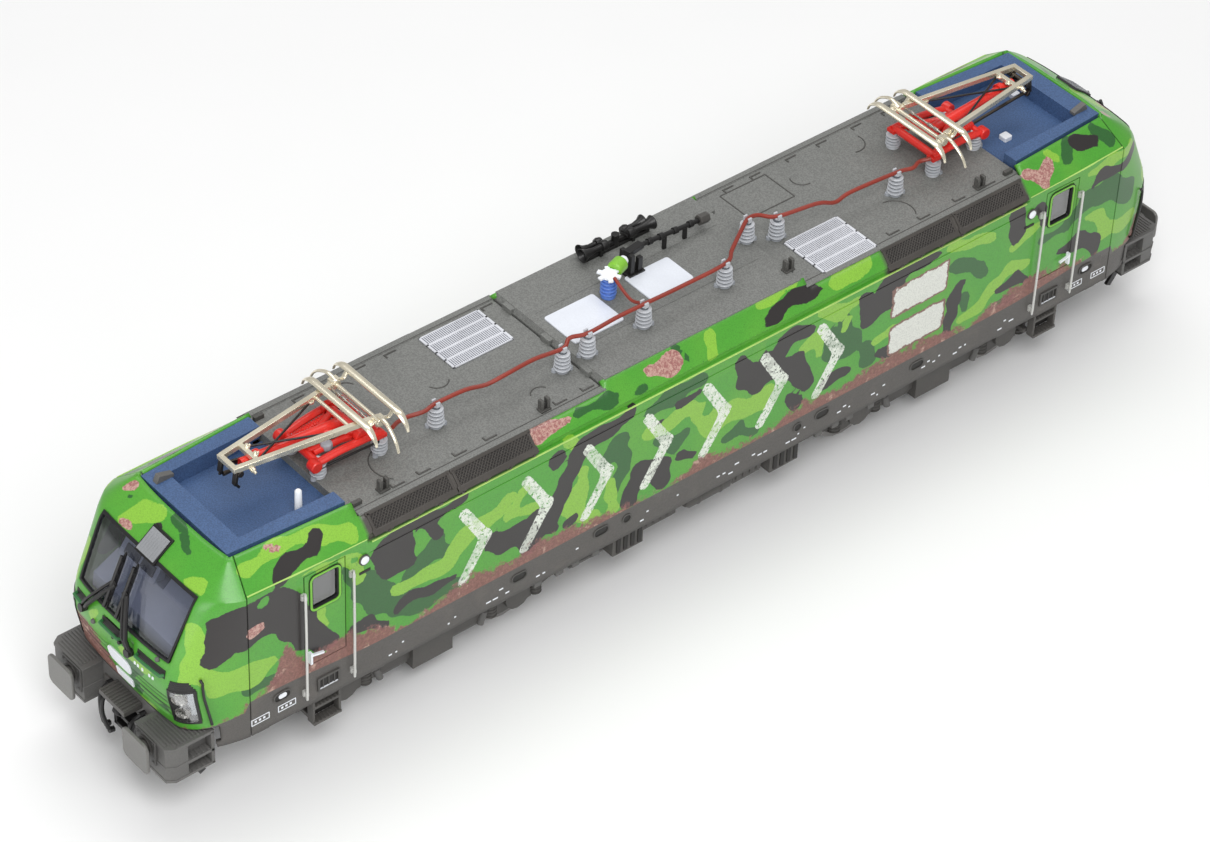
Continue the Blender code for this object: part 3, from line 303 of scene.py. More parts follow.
M = {
    "camouflage": camouflage(),
    "roof": roof_paint("roof_grey", (116, 117, 114)),
    "roof_dark": roof_paint("roof_grey_dark", (78, 77, 74)),
    "blue": roof_paint("roof_blue", (66, 92, 132)),
    "sill": painted("frame_grey", SILL_GREY, 0.55, tint=0.1),
    "frame": painted("bogie_grey", (80, 78, 75), 0.5, tint=0.16, grain=0.02),
    "beam": painted("beam_grey", (96, 95, 93), 0.5, tint=0.12, grain=0.02),
    "vent": painted("vent_grey", (70, 66, 62), 0.5, tint=0.15),
    "vent_dark": painted("vent_hollow", (38, 36, 34), 0.6, tint=0.2),
    "black": painted("black_plastic", (26, 25, 25), 0.38, tint=0.2, grain=0.006),
    "rubber": painted("window_rubber", (20, 20, 21), 0.55, tint=0.2),
    "red": painted("pantograph_red", (222, 44, 34), 0.36, tint=0.12, grain=0.008, coat=0.15),
    "busbar": painted("busbar_red", (142, 50, 36), 0.42, tint=0.14, grain=0.01),
    "porcelain": painted("insulator_grey", (190, 193, 198), 0.34, tint=0.05, grain=0.004, coat=0.2),
    "porcelain_dark": painted("insulator_foot", (156, 160, 166), 0.4, tint=0.08),
    "porcelain_core": painted("insulator_core", (92, 96, 102), 0.5, tint=0.08),
    "white": painted("white_plate", (238, 241, 246), 0.4, tint=0.03, grain=0.004),
    "sky": painted("insulator_blue", (92, 128, 206), 0.36, tint=0.08, coat=0.2),
    "leaf": painted("drum_green", (128, 188, 58), 0.38, tint=0.1),
    # pale lime for the gutter strips: a painted highlight where light catches the gutter edge
    "lime": painted("gutter_painted_highlight", (176, 212, 112), 0.4, tint=0.1),
    "champagne": painted("pantograph_plating", (236, 228, 206), 0.26, 0.75, tint=0.05, grain=0.001),
    "nickel": brushed("nickel", (196, 192, 184), 0.26),
    "steel": brushed("wheel_steel", (150, 148, 146), 0.32, (1, 1, 1)),
    "dark_steel": brushed("blackened_steel", (84, 78, 72), 0.4, (1, 1, 1)),
    "brass": brushed("brass", (206, 166, 84), 0.3, (1, 1, 1)),
    "copper": brushed("winding_copper", (190, 104, 62), 0.36, (1, 6, 6)),
    "cast": painted("cast_zinc", (134, 134, 136), 0.46, 0.75, tint=0.2, grain=0.03),
    "gear": painted("gear_nylon", (222, 214, 190), 0.5, tint=0.06),
    "board": painted("circuit_green", (26, 92, 48), 0.36, tint=0.2, coat=0.3),
    "interior": painted("cab_lavender", (158, 160, 174), 0.6, tint=0.06),
    "interior_dark": painted("cab_dark", (84, 84, 92), 0.6, tint=0.1),
    "seat": painted("seat_blue", (52, 66, 98), 0.7, tint=0.15),
    "glass": clear("cab_glass", (0.8, 0.82, 0.86), 0.02),
    "door_glass": clear("door_glass", (0.5, 0.51, 0.53), 0.16),
    "lens": clear("lamp_lens", (0.94, 0.95, 0.96), 0.14),
    "reflector": brushed("lamp_reflector", (222, 224, 228), 0.16, (1, 1, 1)),
    "guide": painted("light_guide_clear", (224, 230, 236), 0.12, tint=0.03),
    "slat": painted("grille_white", (214, 216, 222), 0.4, tint=0.05),
    "slat_hollow": painted("grille_hollow", (112, 114, 122), 0.55, tint=0.1),
}


# ---------------------------------------------------------------- shape helpers

PLANES = {"XY": (0, 1, 2), "XZ": (0, 2, 1), "YZ": (1, 2, 0)}


def rounded(width, height, radius, steps=4, centre=(0.0, 0.0)):
    """Outline of a rectangle with round corners."""
    cu, cv = width / 2 - radius, height / 2 - radius
    points = []
    for quarter, (su, sv) in enumerate(((1, 1), (-1, 1), (-1, -1), (1, -1))):
        for i in range(steps + 1):
            angle = math.radians(90 * (quarter + i / steps))
            u = centre[0] + su * cu + radius * math.cos(angle)
            v = centre[1] + sv * cv + radius * math.sin(angle)
            points.append((u, v))
    return points


def outward(side, near, far):
    """Two distances from the centre line as y values on the given side, lower one first."""
    return sorted((side * near, side * far))


def drum(height, radius, end_radius=None):
    """Lathe profile of a plain cylinder or cone on its end."""
    end_radius = radius if end_radius is None else end_radius
    return [(0, 0), (0, radius), (height, end_radius), (height, 0)]


def laid(outline, level, plane):
    """The points of a flat outline at one level of a plane's third axis."""
    u, v, w = PLANES[plane]
    points = []
    for a, b in outline:
        point = [0.0, 0.0, 0.0]
        point[u], point[v], point[w] = a, b, level
        points.append(point)
    return points


def prism_faces(n):
    """Faces between two matching outlines of n points, ends included."""
    faces = [tuple(range(n)), tuple(range(2 * n - 1, n - 1, -1))]
    return faces + [(i, (i + 1) % n, n + (i + 1) % n, n + i) for i in range(n)]


def ring_faces(n):
    """Faces round a frame of four matching outlines of n points each."""
    faces = []
    for loop in range(4):
        after = (loop + 1) % 4
        for i in range(n):
            j = (i + 1) % n
            faces.append((loop * n + i, loop * n + j, after * n + j, after * n + i))
    return faces


def new_object(name, data):
    obj = bpy.data.objects.new(name, data)
    bpy.context.scene.collection.objects.link(obj)
    return obj


class Piece:
    """Gathers shapes in millimetres and becomes one object that rides on a CAD body."""

    def __init__(self, name, body, slot, *materials, place=None):
        self.name = name
        self.body = body
        self.slot = slot
        self.materials = materials
        self.place = place or Matrix()
        self.paint = 0
        self.bm = bmesh.new()

    def add(self, points, faces):
        corners = [self.bm.verts.new((self.place @ Vector(p)) * MM) for p in points]
        for face in faces:
            made = self.bm.faces.new([corners[i] for i in face])
            made.material_index = self.paint
            made.smooth = True

    def box(self, low, high):
        self.solid_box([(a + b) / 2 for a, b in zip(low, high)], [b - a for a, b in zip(low, high)])

    def side_box(self, side, x, y, z):
        """A box from its x, y and z ranges, y counted outwards on the given side."""
        low, high = outward(side, *y)
        self.box((x[0], low, z[0]), (x[1], high, z[1]))

    def solid_box(self, centre, size, turn=None):
        turn = turn or Matrix()
        signs = [(i, j, k) for i in (-1, 1) for j in (-1, 1) for k in (-1, 1)]
        points = []
        for sign in signs:
            corner = Vector([s * d / 2 for s, d in zip(sign, size)])
            points.append(Vector(centre) + turn.to_3x3() @ corner)
        self.add(points, [(0, 1, 3, 2), (4, 6, 7, 5), (0, 4, 5, 1), (2, 3, 7, 6), (0, 2, 6, 4), (1, 5, 7, 3)])

    def bar(self, a, b, width, height, up=UP):
        """A square bar between two points, as wide and high as given."""
        a, b = Vector(a), Vector(b)
        along = (b - a).normalized()
        across = Vector(up).cross(along).normalized()
        over = along.cross(across)
        turn = Matrix((along, across, over)).transposed()
        self.solid_box((a + b) / 2, ((b - a).length, width, height), turn)

    def prism(self, outline, low, high, plane="XY"):
        self.add(laid(outline, low, plane) + laid(outline, high, plane), prism_faces(len(outline)))

    def lathe(self, profile, centre, axis, steps=24):
        """A solid of revolution; profile holds (distance along the axis, radius)."""
        turn = Vector(axis).to_track_quat("Z", "Y").to_matrix()
        points, rings = [], []
        for h, r in profile:
            if rings and (h, r) == profile[0]:
                rings.append(rings[0])
                continue
            if r < 1e-6:
                rings.append([len(points)] * steps)
                points.append(Vector(centre) + turn @ Vector((0, 0, h)))
                continue
            ring = []
            for i in range(steps):
                angle = 2 * math.pi * i / steps
                ring.append(len(points))
                points.append(Vector(centre) + turn @ Vector((r * math.cos(angle), r * math.sin(angle), h)))
            rings.append(ring)
        faces = []
        for a, b in zip(rings, rings[1:]):
            for i in range(steps):
                j = (i + 1) % steps
                face = []
                for corner in (a[i], a[j], b[j], b[i]):
                    if corner not in face:
                        face.append(corner)
                if len(face) > 2:
                    faces.append(face)
        closed = profile[0] == profile[-1]
        for end in (rings[0], rings[-1]):
            if len(set(end)) > 1 and not closed:
                faces.append(tuple(end))
        self.add(points, faces)

    def rod(self, a, b, radius, steps=12, end_radius=None):
        a, b = Vector(a), Vector(b)
        end_radius = radius if end_radius is None else end_radius
        self.lathe([(0, radius), ((b - a).length, end_radius)], a, b - a, steps)

    def ball(self, centre, radius, steps=12):
        half = steps // 2
        profile = []
        for i in range(half + 1):
            angle = math.pi * i / half
            profile.append((-radius * math.cos(angle), radius * math.sin(angle)))
        self.lathe(profile, centre, UP, steps)

    def tube(self, path, radius, sides=8, flat=1.0, up=UP):
        """A round tube along a path; flat below 1 squashes it along up. radius may be one per point."""
        path = [Vector(p) for p in path]
        radii = radius if isinstance(radius, (list, tuple)) else [radius] * len(path)
        points, faces = [], []
        across = None
        for i, point in enumerate(path):
            ahead = path[min(i + 1, len(path) - 1)] - path[max(i - 1, 0)]
            ahead.normalize()
            if across is None:
                across = Vector(up).cross(ahead)
                if across.length < 1e-4:
                    across = Vector(ALONG).cross(ahead)
            across = (across - ahead * across.dot(ahead)).normalized()
            over = ahead.cross(across)
            for k in range(sides):
                angle = 2 * math.pi * (k + 0.5) / sides
                offset = across * math.cos(angle) + over * math.sin(angle) * flat
                points.append(point + offset * radii[i])
        for i in range(len(path) - 1):
            for k in range(sides):
                j = (k + 1) % sides
                faces.append((i * sides + k, i * sides + j, (i + 1) * sides + j, (i + 1) * sides + k))
        faces.append(tuple(range(sides)))
        faces.append(tuple((len(path) - 1) * sides + k for k in range(sides)))
        self.add(points, faces)

    def sheet(self, rows, thickness_rows):
        """A closed slab between two matching grids of points, front and back."""
        count, width = len(rows), len(rows[0])
        points = [p for row in rows for p in row] + [p for row in thickness_rows for p in row]
        back = count * width
        faces = []
        for i in range(count - 1):
            for j in range(width - 1):
                a, b = i * width + j, i * width + j + 1
                c, d = b + width, a + width
                faces.append((a, b, c, d))
                faces.append((back + d, back + c, back + b, back + a))
        rim = list(range(width))
        rim += [i * width + width - 1 for i in range(1, count)]
        rim += [(count - 1) * width + j for j in range(width - 2, -1, -1)]
        rim += [i * width for i in range(count - 2, 0, -1)]
        for a, b in zip(rim, rim[1:] + rim[:1]):
            faces.append((a, back + a, back + b, b))
        self.add(points, faces)

    def done(self, bevel=0.06, crease=35, segments=2):
        bmesh.ops.recalc_face_normals(self.bm, faces=self.bm.faces)
        mesh = bpy.data.meshes.new(self.name)
        self.bm.to_mesh(mesh)
        self.bm.free()
        for material in self.materials:
            mesh.materials.append(M[material])
        mesh.set_sharp_from_angle(angle=math.radians(crease))
        obj = new_object(self.name, mesh)
        if bevel:
            modifier = obj.modifiers.new("edges", "BEVEL")
            modifier.width = bevel * MM
            modifier.segments = segments
            modifier.limit_method = "ANGLE"
            modifier.angle_limit = math.radians(40)
            modifier.use_clamp_overlap = True
        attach(obj, self.body)
        return obj


def eased(t):
    t = min(max(t, 0.0), 1.0)
    return t * t * (3 - 2 * t)


def curve_through(points, steps=6):
    """A smooth path through the given points."""
    points = [Vector(p) for p in points]
    ends = [2 * points[0] - points[1]] + points + [2 * points[-1] - points[-2]]
    path = []
    for a, b, c, d in zip(ends, ends[1:], ends[2:], ends[3:]):
        for i in range(steps):
            t = i / steps
            square, cube = 2 * a - 5 * b + 4 * c - d, 3 * b - a - 3 * c + d
            path.append(0.5 * (2 * b + (c - a) * t + square * t * t + cube * t**3))
    return path + [points[-1]]


# ---------------------------------------------------------------- body surface

# Height, nose x, half width of the flat front, corner control y, taper end x and y, side y
LEVELS = (
    (SILL_Z, 102.5, 12.0, 15.9, TAPER_X, SIDE_Y, SIDE_Y),
    (NOSE_BOTTOM_Z, 103.15, 12.1, 16.0, TAPER_X, SIDE_Y, SIDE_Y),
    (18.2, 103.5, 12.2, 16.0, TAPER_X, SIDE_Y, SIDE_Y),
    (24.5, 104.7, 12.2, 16.0, TAPER_X, SIDE_Y, SIDE_Y),
    (28.8, 104.1, 12.0, 16.0, TAPER_X, SIDE_Y, SIDE_Y),
    (CANT_Z, 98.7, 12.3, 16.0, TAPER_X, SIDE_Y, SIDE_Y),
    (CAB_ROOF_Z, 92.3, 11.4, 11.9, 91.2, 11.95, 13.15),
)
FRONT, CORNER, SIDE, MIDDLE = 0.0, 1.0, 2.0, 3.0


def level_value(z, column):
    heights = [level[0] for level in LEVELS]
    return float(np.interp(z, heights, [level[column] for level in LEVELS]))


def softened(z, column, reach=1.5):
    """A level value averaged over a few heights, so that the nose has no hard bends."""
    return sum(level_value(z + reach * k / 3, column) for k in range(-3, 4)) / 7


def quarter_point(q, z):
    """Point of the +X +Y quarter. q runs 0..1 across the front, 1..2 round the corner, 2..4 down the side."""
    nose = softened(z, 1) if SILL_Z + 1.5 < z < CAB_ROOF_Z - 1.5 else level_value(z, 1)
    flat = level_value(z, 2)
    corner = level_value(z, 3)
    taper_x, taper_y, side = (level_value(z, c) for c in (4, 5, 6))
    if q <= CORNER:
        return Vector((nose - 0.6 * q**3, q * flat, z))
    if q <= SIDE:
        t = q - CORNER
        above = min(max((z - CANT_Z) / (CAB_ROOF_Z - CANT_Z), 0.0), 1.0)
        control = nose - 1.5 + 1.4 * above
        x = (1 - t) ** 2 * (nose - 0.6) + 2 * t * (1 - t) * control + t * t * taper_x
        y = (1 - t) ** 2 * flat + 2 * t * (1 - t) * corner + t * t * taper_y
        return Vector((x, y, z))
    if q <= MIDDLE:
        t = q - SIDE
        return Vector((taper_x + (DECK_END_X - taper_x) * t, taper_y + (side - taper_y) * t, z))
    return Vector((DECK_END_X * (4 - q), side, z))


def surface_point(q, z, lift=0.0, side=1):
    point = quarter_point(q, z)
    if lift:
        step = 0.02
        along = quarter_point(min(q + step, 4), z) - quarter_point(max(q - step, 0), z)
        if q < step:
            along = Vector(ASIDE)
        up = quarter_point(q, min(z + step, CAB_ROOF_Z)) - quarter_point(q, z - step)
        point += along.cross(up).normalized() * lift
    return Vector((point.x, point.y * side, point.z))


def side_q(x):
    """The q of a distance x along the flank."""
    if x >= DECK_END_X:
        return SIDE + (TAPER_X - x) / (TAPER_X - DECK_END_X)
    return MIDDLE + (DECK_END_X - x) / DECK_END_X


def skin(piece, qs, zs, lift, depth, side=1):
    """A thin closed slab that follows the body surface."""
    front = [[surface_point(q, z, lift, side) for q in qs] for z in zs]
    back = [[surface_point(q, z, lift - depth, side) for q in qs] for z in zs]
    piece.sheet(front, back)


def spread(low, high, count):
    return [low + (high - low) * i / count for i in range(count + 1)]


def sill_top(x):
    """Height of the grey sill's upper edge, which rises towards the cabs."""
    x = abs(x)
    if x > SEAM_X:
        return 17.3 - 0.9 * eased((x - SEAM_X) / 8)
    return 17.6 + 1.5 * eased((x - 66) / 24)


# ---------------------------------------------------------------- camouflage patches

# Chains of (x, z, radius) down the -Y flank; the +Y flank carries them turned round
FLANK = {
    "black": (
        ((-95, 36, 3.0), (-90, 36.2, 3.4), (-86, 35, 3.6), (-83.5, 31, 3.2), (-81.5, 27, 2.4),
         (-79, 24, 1.9), (-77, 22.8, 1.6)),
        ((-97.6, 36.6, 1.7), (-95.4, 33.6, 2.8), (-96.6, 30, 1.8)),
        ((-95, 33.4, 2.4), (-92.5, 33.2, 2.4), (-88, 33, 2.4)),
        ((-86.5, 41, 1.2), (-83, 41.8, 1.4), (-79.4, 42.2, 1.1), (-77.8, 43, 0.9)),
        ((-67, 36, 2.4), (-66, 32, 2.0), (-62.5, 31.2, 1.8), (-63, 36, 2.2)),
        ((-64, 38, 1.1), (-57, 37.8, 1.2), (-51, 38.4, 0.7)),
        ((-58.5, 37.2, 1.2), (-56.4, 33.6, 0.9)),
        ((-64, 22.3, 1.0), (-61, 23.6, 1.3), (-57, 22.6, 1.0), (-53, 23, 0.7)),
        ((-73.5, 23.6, 0.9), (-69.5, 22.6, 1.2), (-67, 20, 0.7)),
        ((-45.8, 26, 1.7), (-43.8, 24.4, 1.7), (-40, 25, 2.2), (-38, 22, 2.4), (-36.5, 26, 2.0)),
        ((-33, 36.6, 1.7), (-32.8, 35.4, 1.5)),
        ((-33.5, 22.4, 1.5), (-32.5, 27, 1.8), (-30.8, 31, 1.8), (-27.5, 36.4, 1.9), (-21, 37, 1.5),
         (-18, 38.4, 1.2)),
        ((-30, 21.6, 0.9), (-28.6, 21.8, 0.9)),
        ((-17.5, 19.8, 2.0), (-15.5, 24.5, 1.9), (-11.5, 23, 2.4), (-10.6, 19.6, 1.8)),
        ((-6.3, 23, 1.2), (-4.4, 22, 0.9)),
        ((-12.6, 33.4, 0.8), (-10.8, 32.8, 0.8)),
        ((-7.5, 34.6, 0.8), (-3.5, 35, 0.9)),
        ((5.6, 37, 1.3), (7, 33, 2.2), (9, 30.5, 2.2), (12, 34, 2.8), (16, 36.6, 2.0), (20.5, 36, 1.2)),
        ((13.5, 31, 2.0), (17, 30, 2.6), (19.6, 26.4, 2.0), (21, 24, 1.2)),
        ((16.8, 23.6, 1.3), (18.6, 21, 1.3)),
        ((24.5, 22.6, 1.2), (29.5, 22.4, 1.3)),
        ((32.6, 36, 1.6), (34.5, 33, 2.8), (38, 34.5, 3.0), (37, 37.4, 1.7), (49, 38.2, 0.9)),
        ((37, 23, 1.2), (40, 22.2, 1.4)),
        ((55.5, 28.8, 1.0), (53.6, 26, 1.5), (53.4, 22.6, 1.4), (53, 19, 0.8)),
        ((67.4, 38, 1.9), (67.5, 33.4, 2.0)),
        ((64.6, 22.4, 1.0), (68.5, 23.6, 1.2), (71, 22, 1.0)),
        ((72.5, 36.6, 1.3), (74.2, 33, 1.0)),
        ((79.5, 24.2, 1.0), (84, 24.4, 1.8), (87, 23, 1.8), (88.6, 20.4, 1.1)),
        ((85.6, 35.4, 0.9), (88, 37, 1.3), (93, 36.4, 1.0), (98, 38.4, 0.8)),
        ((8, 41.2, 0.4), (13.5, 41.8, 0.9), (18, 42.6, 1.3), (22, 42.2, 1.1), (24.6, 42.6, 0.6)),
        ((84.6, 43.6, 1.5), (87.6, 42.6, 1.5)),
    ),
    "lime": (
        ((-99.4, 33, 1.4), (-98.6, 28.6, 1.8), (-95.4, 25, 2.2), (-91, 24.6, 2.3), (-88.4, 25.2, 1.4)),
        ((-91, 43, 1.2), (-84, 43.8, 1.0), (-77, 43, 1.3), (-72.6, 41.8, 1.5)),
        ((-75, 38.8, 0.9), (-72.4, 37, 1.3), (-71.8, 33, 1.1)),
        ((-81.6, 39, 0.9), (-76, 39.3, 0.6)),
        ((-79, 30, 1.0), (-78.4, 27.4, 0.9)),
        ((-64.8, 26.4, 1.0), (-59.5, 26.2, 1.5), (-54.5, 26.6, 1.9), (-51.8, 30, 1.9), (-47, 31, 1.6),
         (-42.5, 33, 1.2)),
        ((-39, 33.6, 1.2), (-42.5, 29.4, 0.9), (-37, 28.4, 0.9)),
        ((-30.5, 38.6, 1.0), (-28.4, 37, 1.1)),
        ((-27.2, 31, 1.1), (-28, 26, 2.0), (-30.5, 24.6, 1.4), (-25.4, 20, 1.6)),
        ((-21.6, 25, 1.0), (-20.6, 19.4, 1.4)),
        ((-13.2, 31.4, 1.8), (-9, 31.8, 1.6), (-5, 32.6, 1.3), (-2.5, 30, 1.9), (0, 26.4, 2.4),
         (4.5, 27.2, 2.0), (11, 25, 1.4)),
        ((12.6, 28, 0.9), (9.4, 27, 1.6)),
        ((19.4, 32.8, 1.2), (22.4, 33.4, 1.5), (22.8, 29.8, 0.9)),
        ((22.2, 38.4, 1.0), (27, 36.6, 1.5), (30.6, 36.6, 1.0)),
        ((29, 34, 0.9), (28.6, 32.4, 0.9)),
        ((36.4, 26.2, 1.2), (40, 26.4, 0.9)),
        ((51.5, 38.4, 0.8), (57, 37, 1.3), (61.5, 35.8, 1.0)),
        ((56, 20.3, 1.2), (60.5, 21.4, 1.3), (63.5, 24, 1.5), (67, 26.2, 1.4), (71, 25.6, 1.1)),
        ((67.4, 31.2, 1.0), (71.2, 32.2, 1.3), (73.4, 33.4, 0.8)),
        ((84.4, 38.8, 0.9), (90, 38.8, 1.2), (95.5, 39.6, 1.2)),
        ((84.6, 28.8, 0.8), (88.6, 27.6, 1.1), (90, 23.6, 1.5), (96, 22.6, 1.6)),
        ((-0.4, 41, 0.9), (0.8, 43.4, 0.9)),
        ((11.4, 43.6, 0.9), (19.5, 44.2, 0.7)),
        ((26.5, 42, 1.2), (30.5, 42, 1.4), (34, 42.4, 1.0)),
        ((77.5, 44, 0.7), (79, 43, 0.9)),
    ),
    "dark": (
        ((-74.6, 36, 0.9), (-70, 30.4, 2.6), (-67, 25.6, 2.6), (-61, 21.6, 2.2), (-53.5, 21.2, 1.6)),
        ((-62, 28.8, 1.6), (-57, 31, 2.2), (-55, 29, 1.6)),
        ((-95.5, 33, 1.0), (-96.5, 31, 0.8)),
        ((-92, 21.8, 1.6), (-88, 21.4, 1.2)),
        ((-22.6, 30.6, 1.6), (-19.6, 33.4, 1.7), (-19, 26.6, 1.5), (-21, 22.4, 1.0)),
        ((-13.4, 36.6, 1.4), (-8.6, 37, 1.9), (-3.4, 37.4, 1.5)),
        ((-12.4, 29.6, 0.9), (-8.4, 26.4, 1.6), (-6, 27.8, 1.4)),
        ((3, 22, 1.0), (6, 22.4, 1.0), (9, 19.8, 1.0)),
        ((25, 33, 1.4), (26.4, 29, 2.4), (30, 28, 2.4), (28, 35.6, 0.9)),
        ((33.6, 25.4, 1.6), (34.8, 22.4, 1.8)),
        ((53, 33.6, 1.5), (57, 31.8, 1.5), (60.6, 28.8, 1.1)),
        ((56.4, 25.6, 1.1), (57, 22.6, 1.0)),
        ((63.6, 19.2, 1.0), (68.6, 19.4, 0.9)),
        ((74.5, 29, 0.8), (80, 29.6, 1.0), (85.4, 33, 2.2), (90.6, 33, 2.6), (94.6, 29.4, 2.4)),
        ((-27.4, 42.2, 0.8), (-21.4, 41.8, 0.9), (-14, 41.2, 0.5)),
        ((-6.4, 43.8, 0.5), (-4.6, 41.6, 0.8)),
        ((80.6, 42.6, 1.5), (82.6, 44, 1.0)),
        ((89, 44, 1.0), (91, 42, 1.2)),
    ),
    "spot": (
        ((-89.8, 38.2, 1.2), (-89.4, 38.3, 1.2)),
        ((-82.8, 38.4, 1.0), (-80.8, 38.6, 0.8)),
        ((11.8, 37, 1.1), (12.2, 37.4, 1.1)),
        ((-0.6, 33, 1.0), (-1, 30, 1.0)),
        ((77.6, 22.4, 1.0), (75.6, 23.4, 0.7)),
        ((-72.5, 37.6, 0.3), (-72.4, 37.2, 0.3)),
    ),
    "stone": (
        ((-36, 42.2, 1.5), (-32.4, 42, 1.2), (-30, 41.8, 0.6)),
        ((-12.4, 42.8, 1.0), (-9.6, 42.2, 1.7), (-7.2, 42.4, 1.4)),
        ((-91.6, 33, 0.9), (-89.8, 33.6, 0.7)),
        ((71.6, 43, 1.2), (73.6, 41.6, 1.3), (76.6, 43, 1.0)),
        ((-84.4, 43.4, 0.4), (-87, 44, 0.4)),
    ),
    "pale": tuple(
        ((x, 20.9, 1.0), (x + 4.4, 28, 1.1), (x, 35.1, 1.0))
        for x in (-51.4, -39.0, -26.6, -14.2, -1.8, 10.6, 23.0)
    ),
}

# Chains of (y, z, radius) on the front of cab 1; cab 2 carries them turned round
NOSE = {
    "lime": (
        ((-11.6, 41.4, 1.4), (-9.4, 41, 0.9)),
        ((3.4, 43.6, 1.6), (6.4, 42.8, 1.8), (8, 41.4, 1.0)),
        ((-13.5, 35, 1.6), (-14.4, 31, 1.6), (-14, 27.4, 1.4)),
        ((-11, 27.8, 0.7), (-6.4, 25.6, 0.8), (-1, 25.2, 0.5)),
        ((5.4, 27.8, 0.8), (7.4, 26.2, 0.8)),
        ((12.8, 34, 1.4), (13.6, 29, 1.6)),
        ((-7, 16.6, 0.9), (-4, 16.8, 0.8)),
    ),
    "dark": (
        ((-6.2, 42.8, 0.7), (-3.4, 43.6, 0.9), (0.5, 44.4, 0.6)),
        ((-5, 24.4, 1.4), (-2, 21.4, 1.6), (-3.4, 18, 1.4)),
        ((-10.6, 19.2, 0.9), (-7, 18.4, 0.8)),
        ((9.4, 43, 0.6), (11.4, 42.4, 0.6)),
    ),
    "black": (
        ((1.2, 43, 0.6), (2.2, 43, 0.6)),
        ((-14.6, 25.4, 0.5), (-12.8, 25.4, 0.5)),
    ),
    "stone": (
        ((5.8, 41.2, 0.7), (7.6, 41.1, 0.7)),
        ((10.8, 43.8, 0.9), (12, 43.2, 0.8)),
    ),
}
MUD_HEIGHTS = (
    (-100, 17), (-95, 17.5), (-91, 19.5), (-88, 21.5), (-85.5, 27.5), (-82, 22), (-76, 23), (-70, 22),
    (-64, 18.5), (-58, 19),
    (-50, 21.4), (-41, 19.6), (-36, 21.6), (-28, 20), (-20, 19), (-8, 17.5), (-2, 21), (4, 19), (12, 18.4),
    (20, 20.6), (30, 20), (40, 21), (50, 20.4), (58, 18.4), (66, 21), (74, 22.4), (82, 20), (88, 18.8),
    (94, 18), (100, 17),
)


JOIN = 0.9


def chain_distance(points, chain):
    """Distance of every point to a chain of 3-D capsules, less their radii, smoothed over JOIN."""
    best = np.full(len(points), FAR)
    for (a, ra), (b, rb) in zip(chain, chain[1:]):
        along = b - a
        length = max(float(along @ along), 1e-9)
        t = np.clip((points - a) @ along / length, 0, 1)
        away = np.linalg.norm(points - a - t[:, None] * along, axis=1)
        distance = away - (ra + t * (rb - ra))
        blend = np.clip(0.5 + 0.5 * (best - distance) / JOIN, 0, 1)
        best = best + (distance - best) * blend - JOIN * blend * (1 - blend)
    return best


def patch_fields(points):
    """Signed distances to the outlines of each kind of patch, for points in millimetres."""
    turned = points * np.array([-1.0, -1.0, 1.0])
    wobble = 0.32 * np.sin(points[:, 0] * 0.9 + 1.3 * np.sin(points[:, 2] * 0.7))
    wobble += 0.22 * np.sin(points[:, 2] * 1.7 + points[:, 1] * 0.8 + points[:, 0] * 0.35)
    fields = {}
    for kind, chains in FLANK.items():
        placed = [[(flank_anchor(x, z), r) for x, z, r in chain] for chain in chains]
        placed += [[(nose_anchor(y, z), r) for y, z, r in chain] for chain in NOSE.get(kind, ())]
        field = np.full(len(points), FAR)
        for chain in placed:
            field = np.minimum(field, chain_distance(points, chain))
            field = np.minimum(field, chain_distance(turned, chain))
        fields[kind] = field + (wobble if kind != "pale" else 0)
    return fields


def flank_anchor(x, z):
    past = abs(x) - TAPER_X
    point = quarter_point(side_q(abs(x)) if past <= 0 else SIDE - past / 12, z)
    return np.array((math.copysign(point.x, x), -point.y, z))


def nose_anchor(y, z):
    flat = level_value(z, 2)
    q = abs(y) / flat if abs(y) <= flat else 1 + 0.55 * (abs(y) - flat) / 3.2
    point = quarter_point(q, z)
    return np.array((-point.x, math.copysign(point.y, y), z))


# ---------------------------------------------------------------- body shell

SEAM_LINE_X = 92.35
LINE_HALF = 0.13
LINE_DEPTH = 0.2
GUTTER_Z = 39.3
CHANNEL_TOP = 40.7
SHELL_TOP_Z = 43.0
CENTRE_TOP_Z = 44.2
SKIN = 0.8
BOARDS = ((45.4, 32.3), (45.4, 24.1))
BOARD_HALF = (6.5, 3.3)
FAR = 99.0
SCREEN_OPENING = (29.6, 40.4)
LAMP_Q = (1.02, 1.47)
LAMP_Z = (18.1, 24.8)
POCKET_Z = (26.0, 28.4)
RIB_Z = (17.4, 23.0)


def body_columns():
    qs = spread(FRONT, CORNER, 12)
    qs += [CORNER + t for t in spread(0.04, 0.96, 14)]
    xs = [SEAM_LINE_X + 0.15, SEAM_LINE_X, SEAM_LINE_X - 0.15]
    xs += spread(91.7, 70.0, 22)
    xs += list(DOOR_WINDOW[:2])
    for x in DOOR_X:
        xs += [x - LINE_HALF, x, x + LINE_HALF]
    xs = [x for x in xs if not any(0 < abs(x - d) < LINE_HALF * 0.9 for d in DOOR_X)]
    xs += spread(69.3, 0.0, 68)
    return sorted(set(round(q, 5) for q in qs + [side_q(x) for x in xs]))


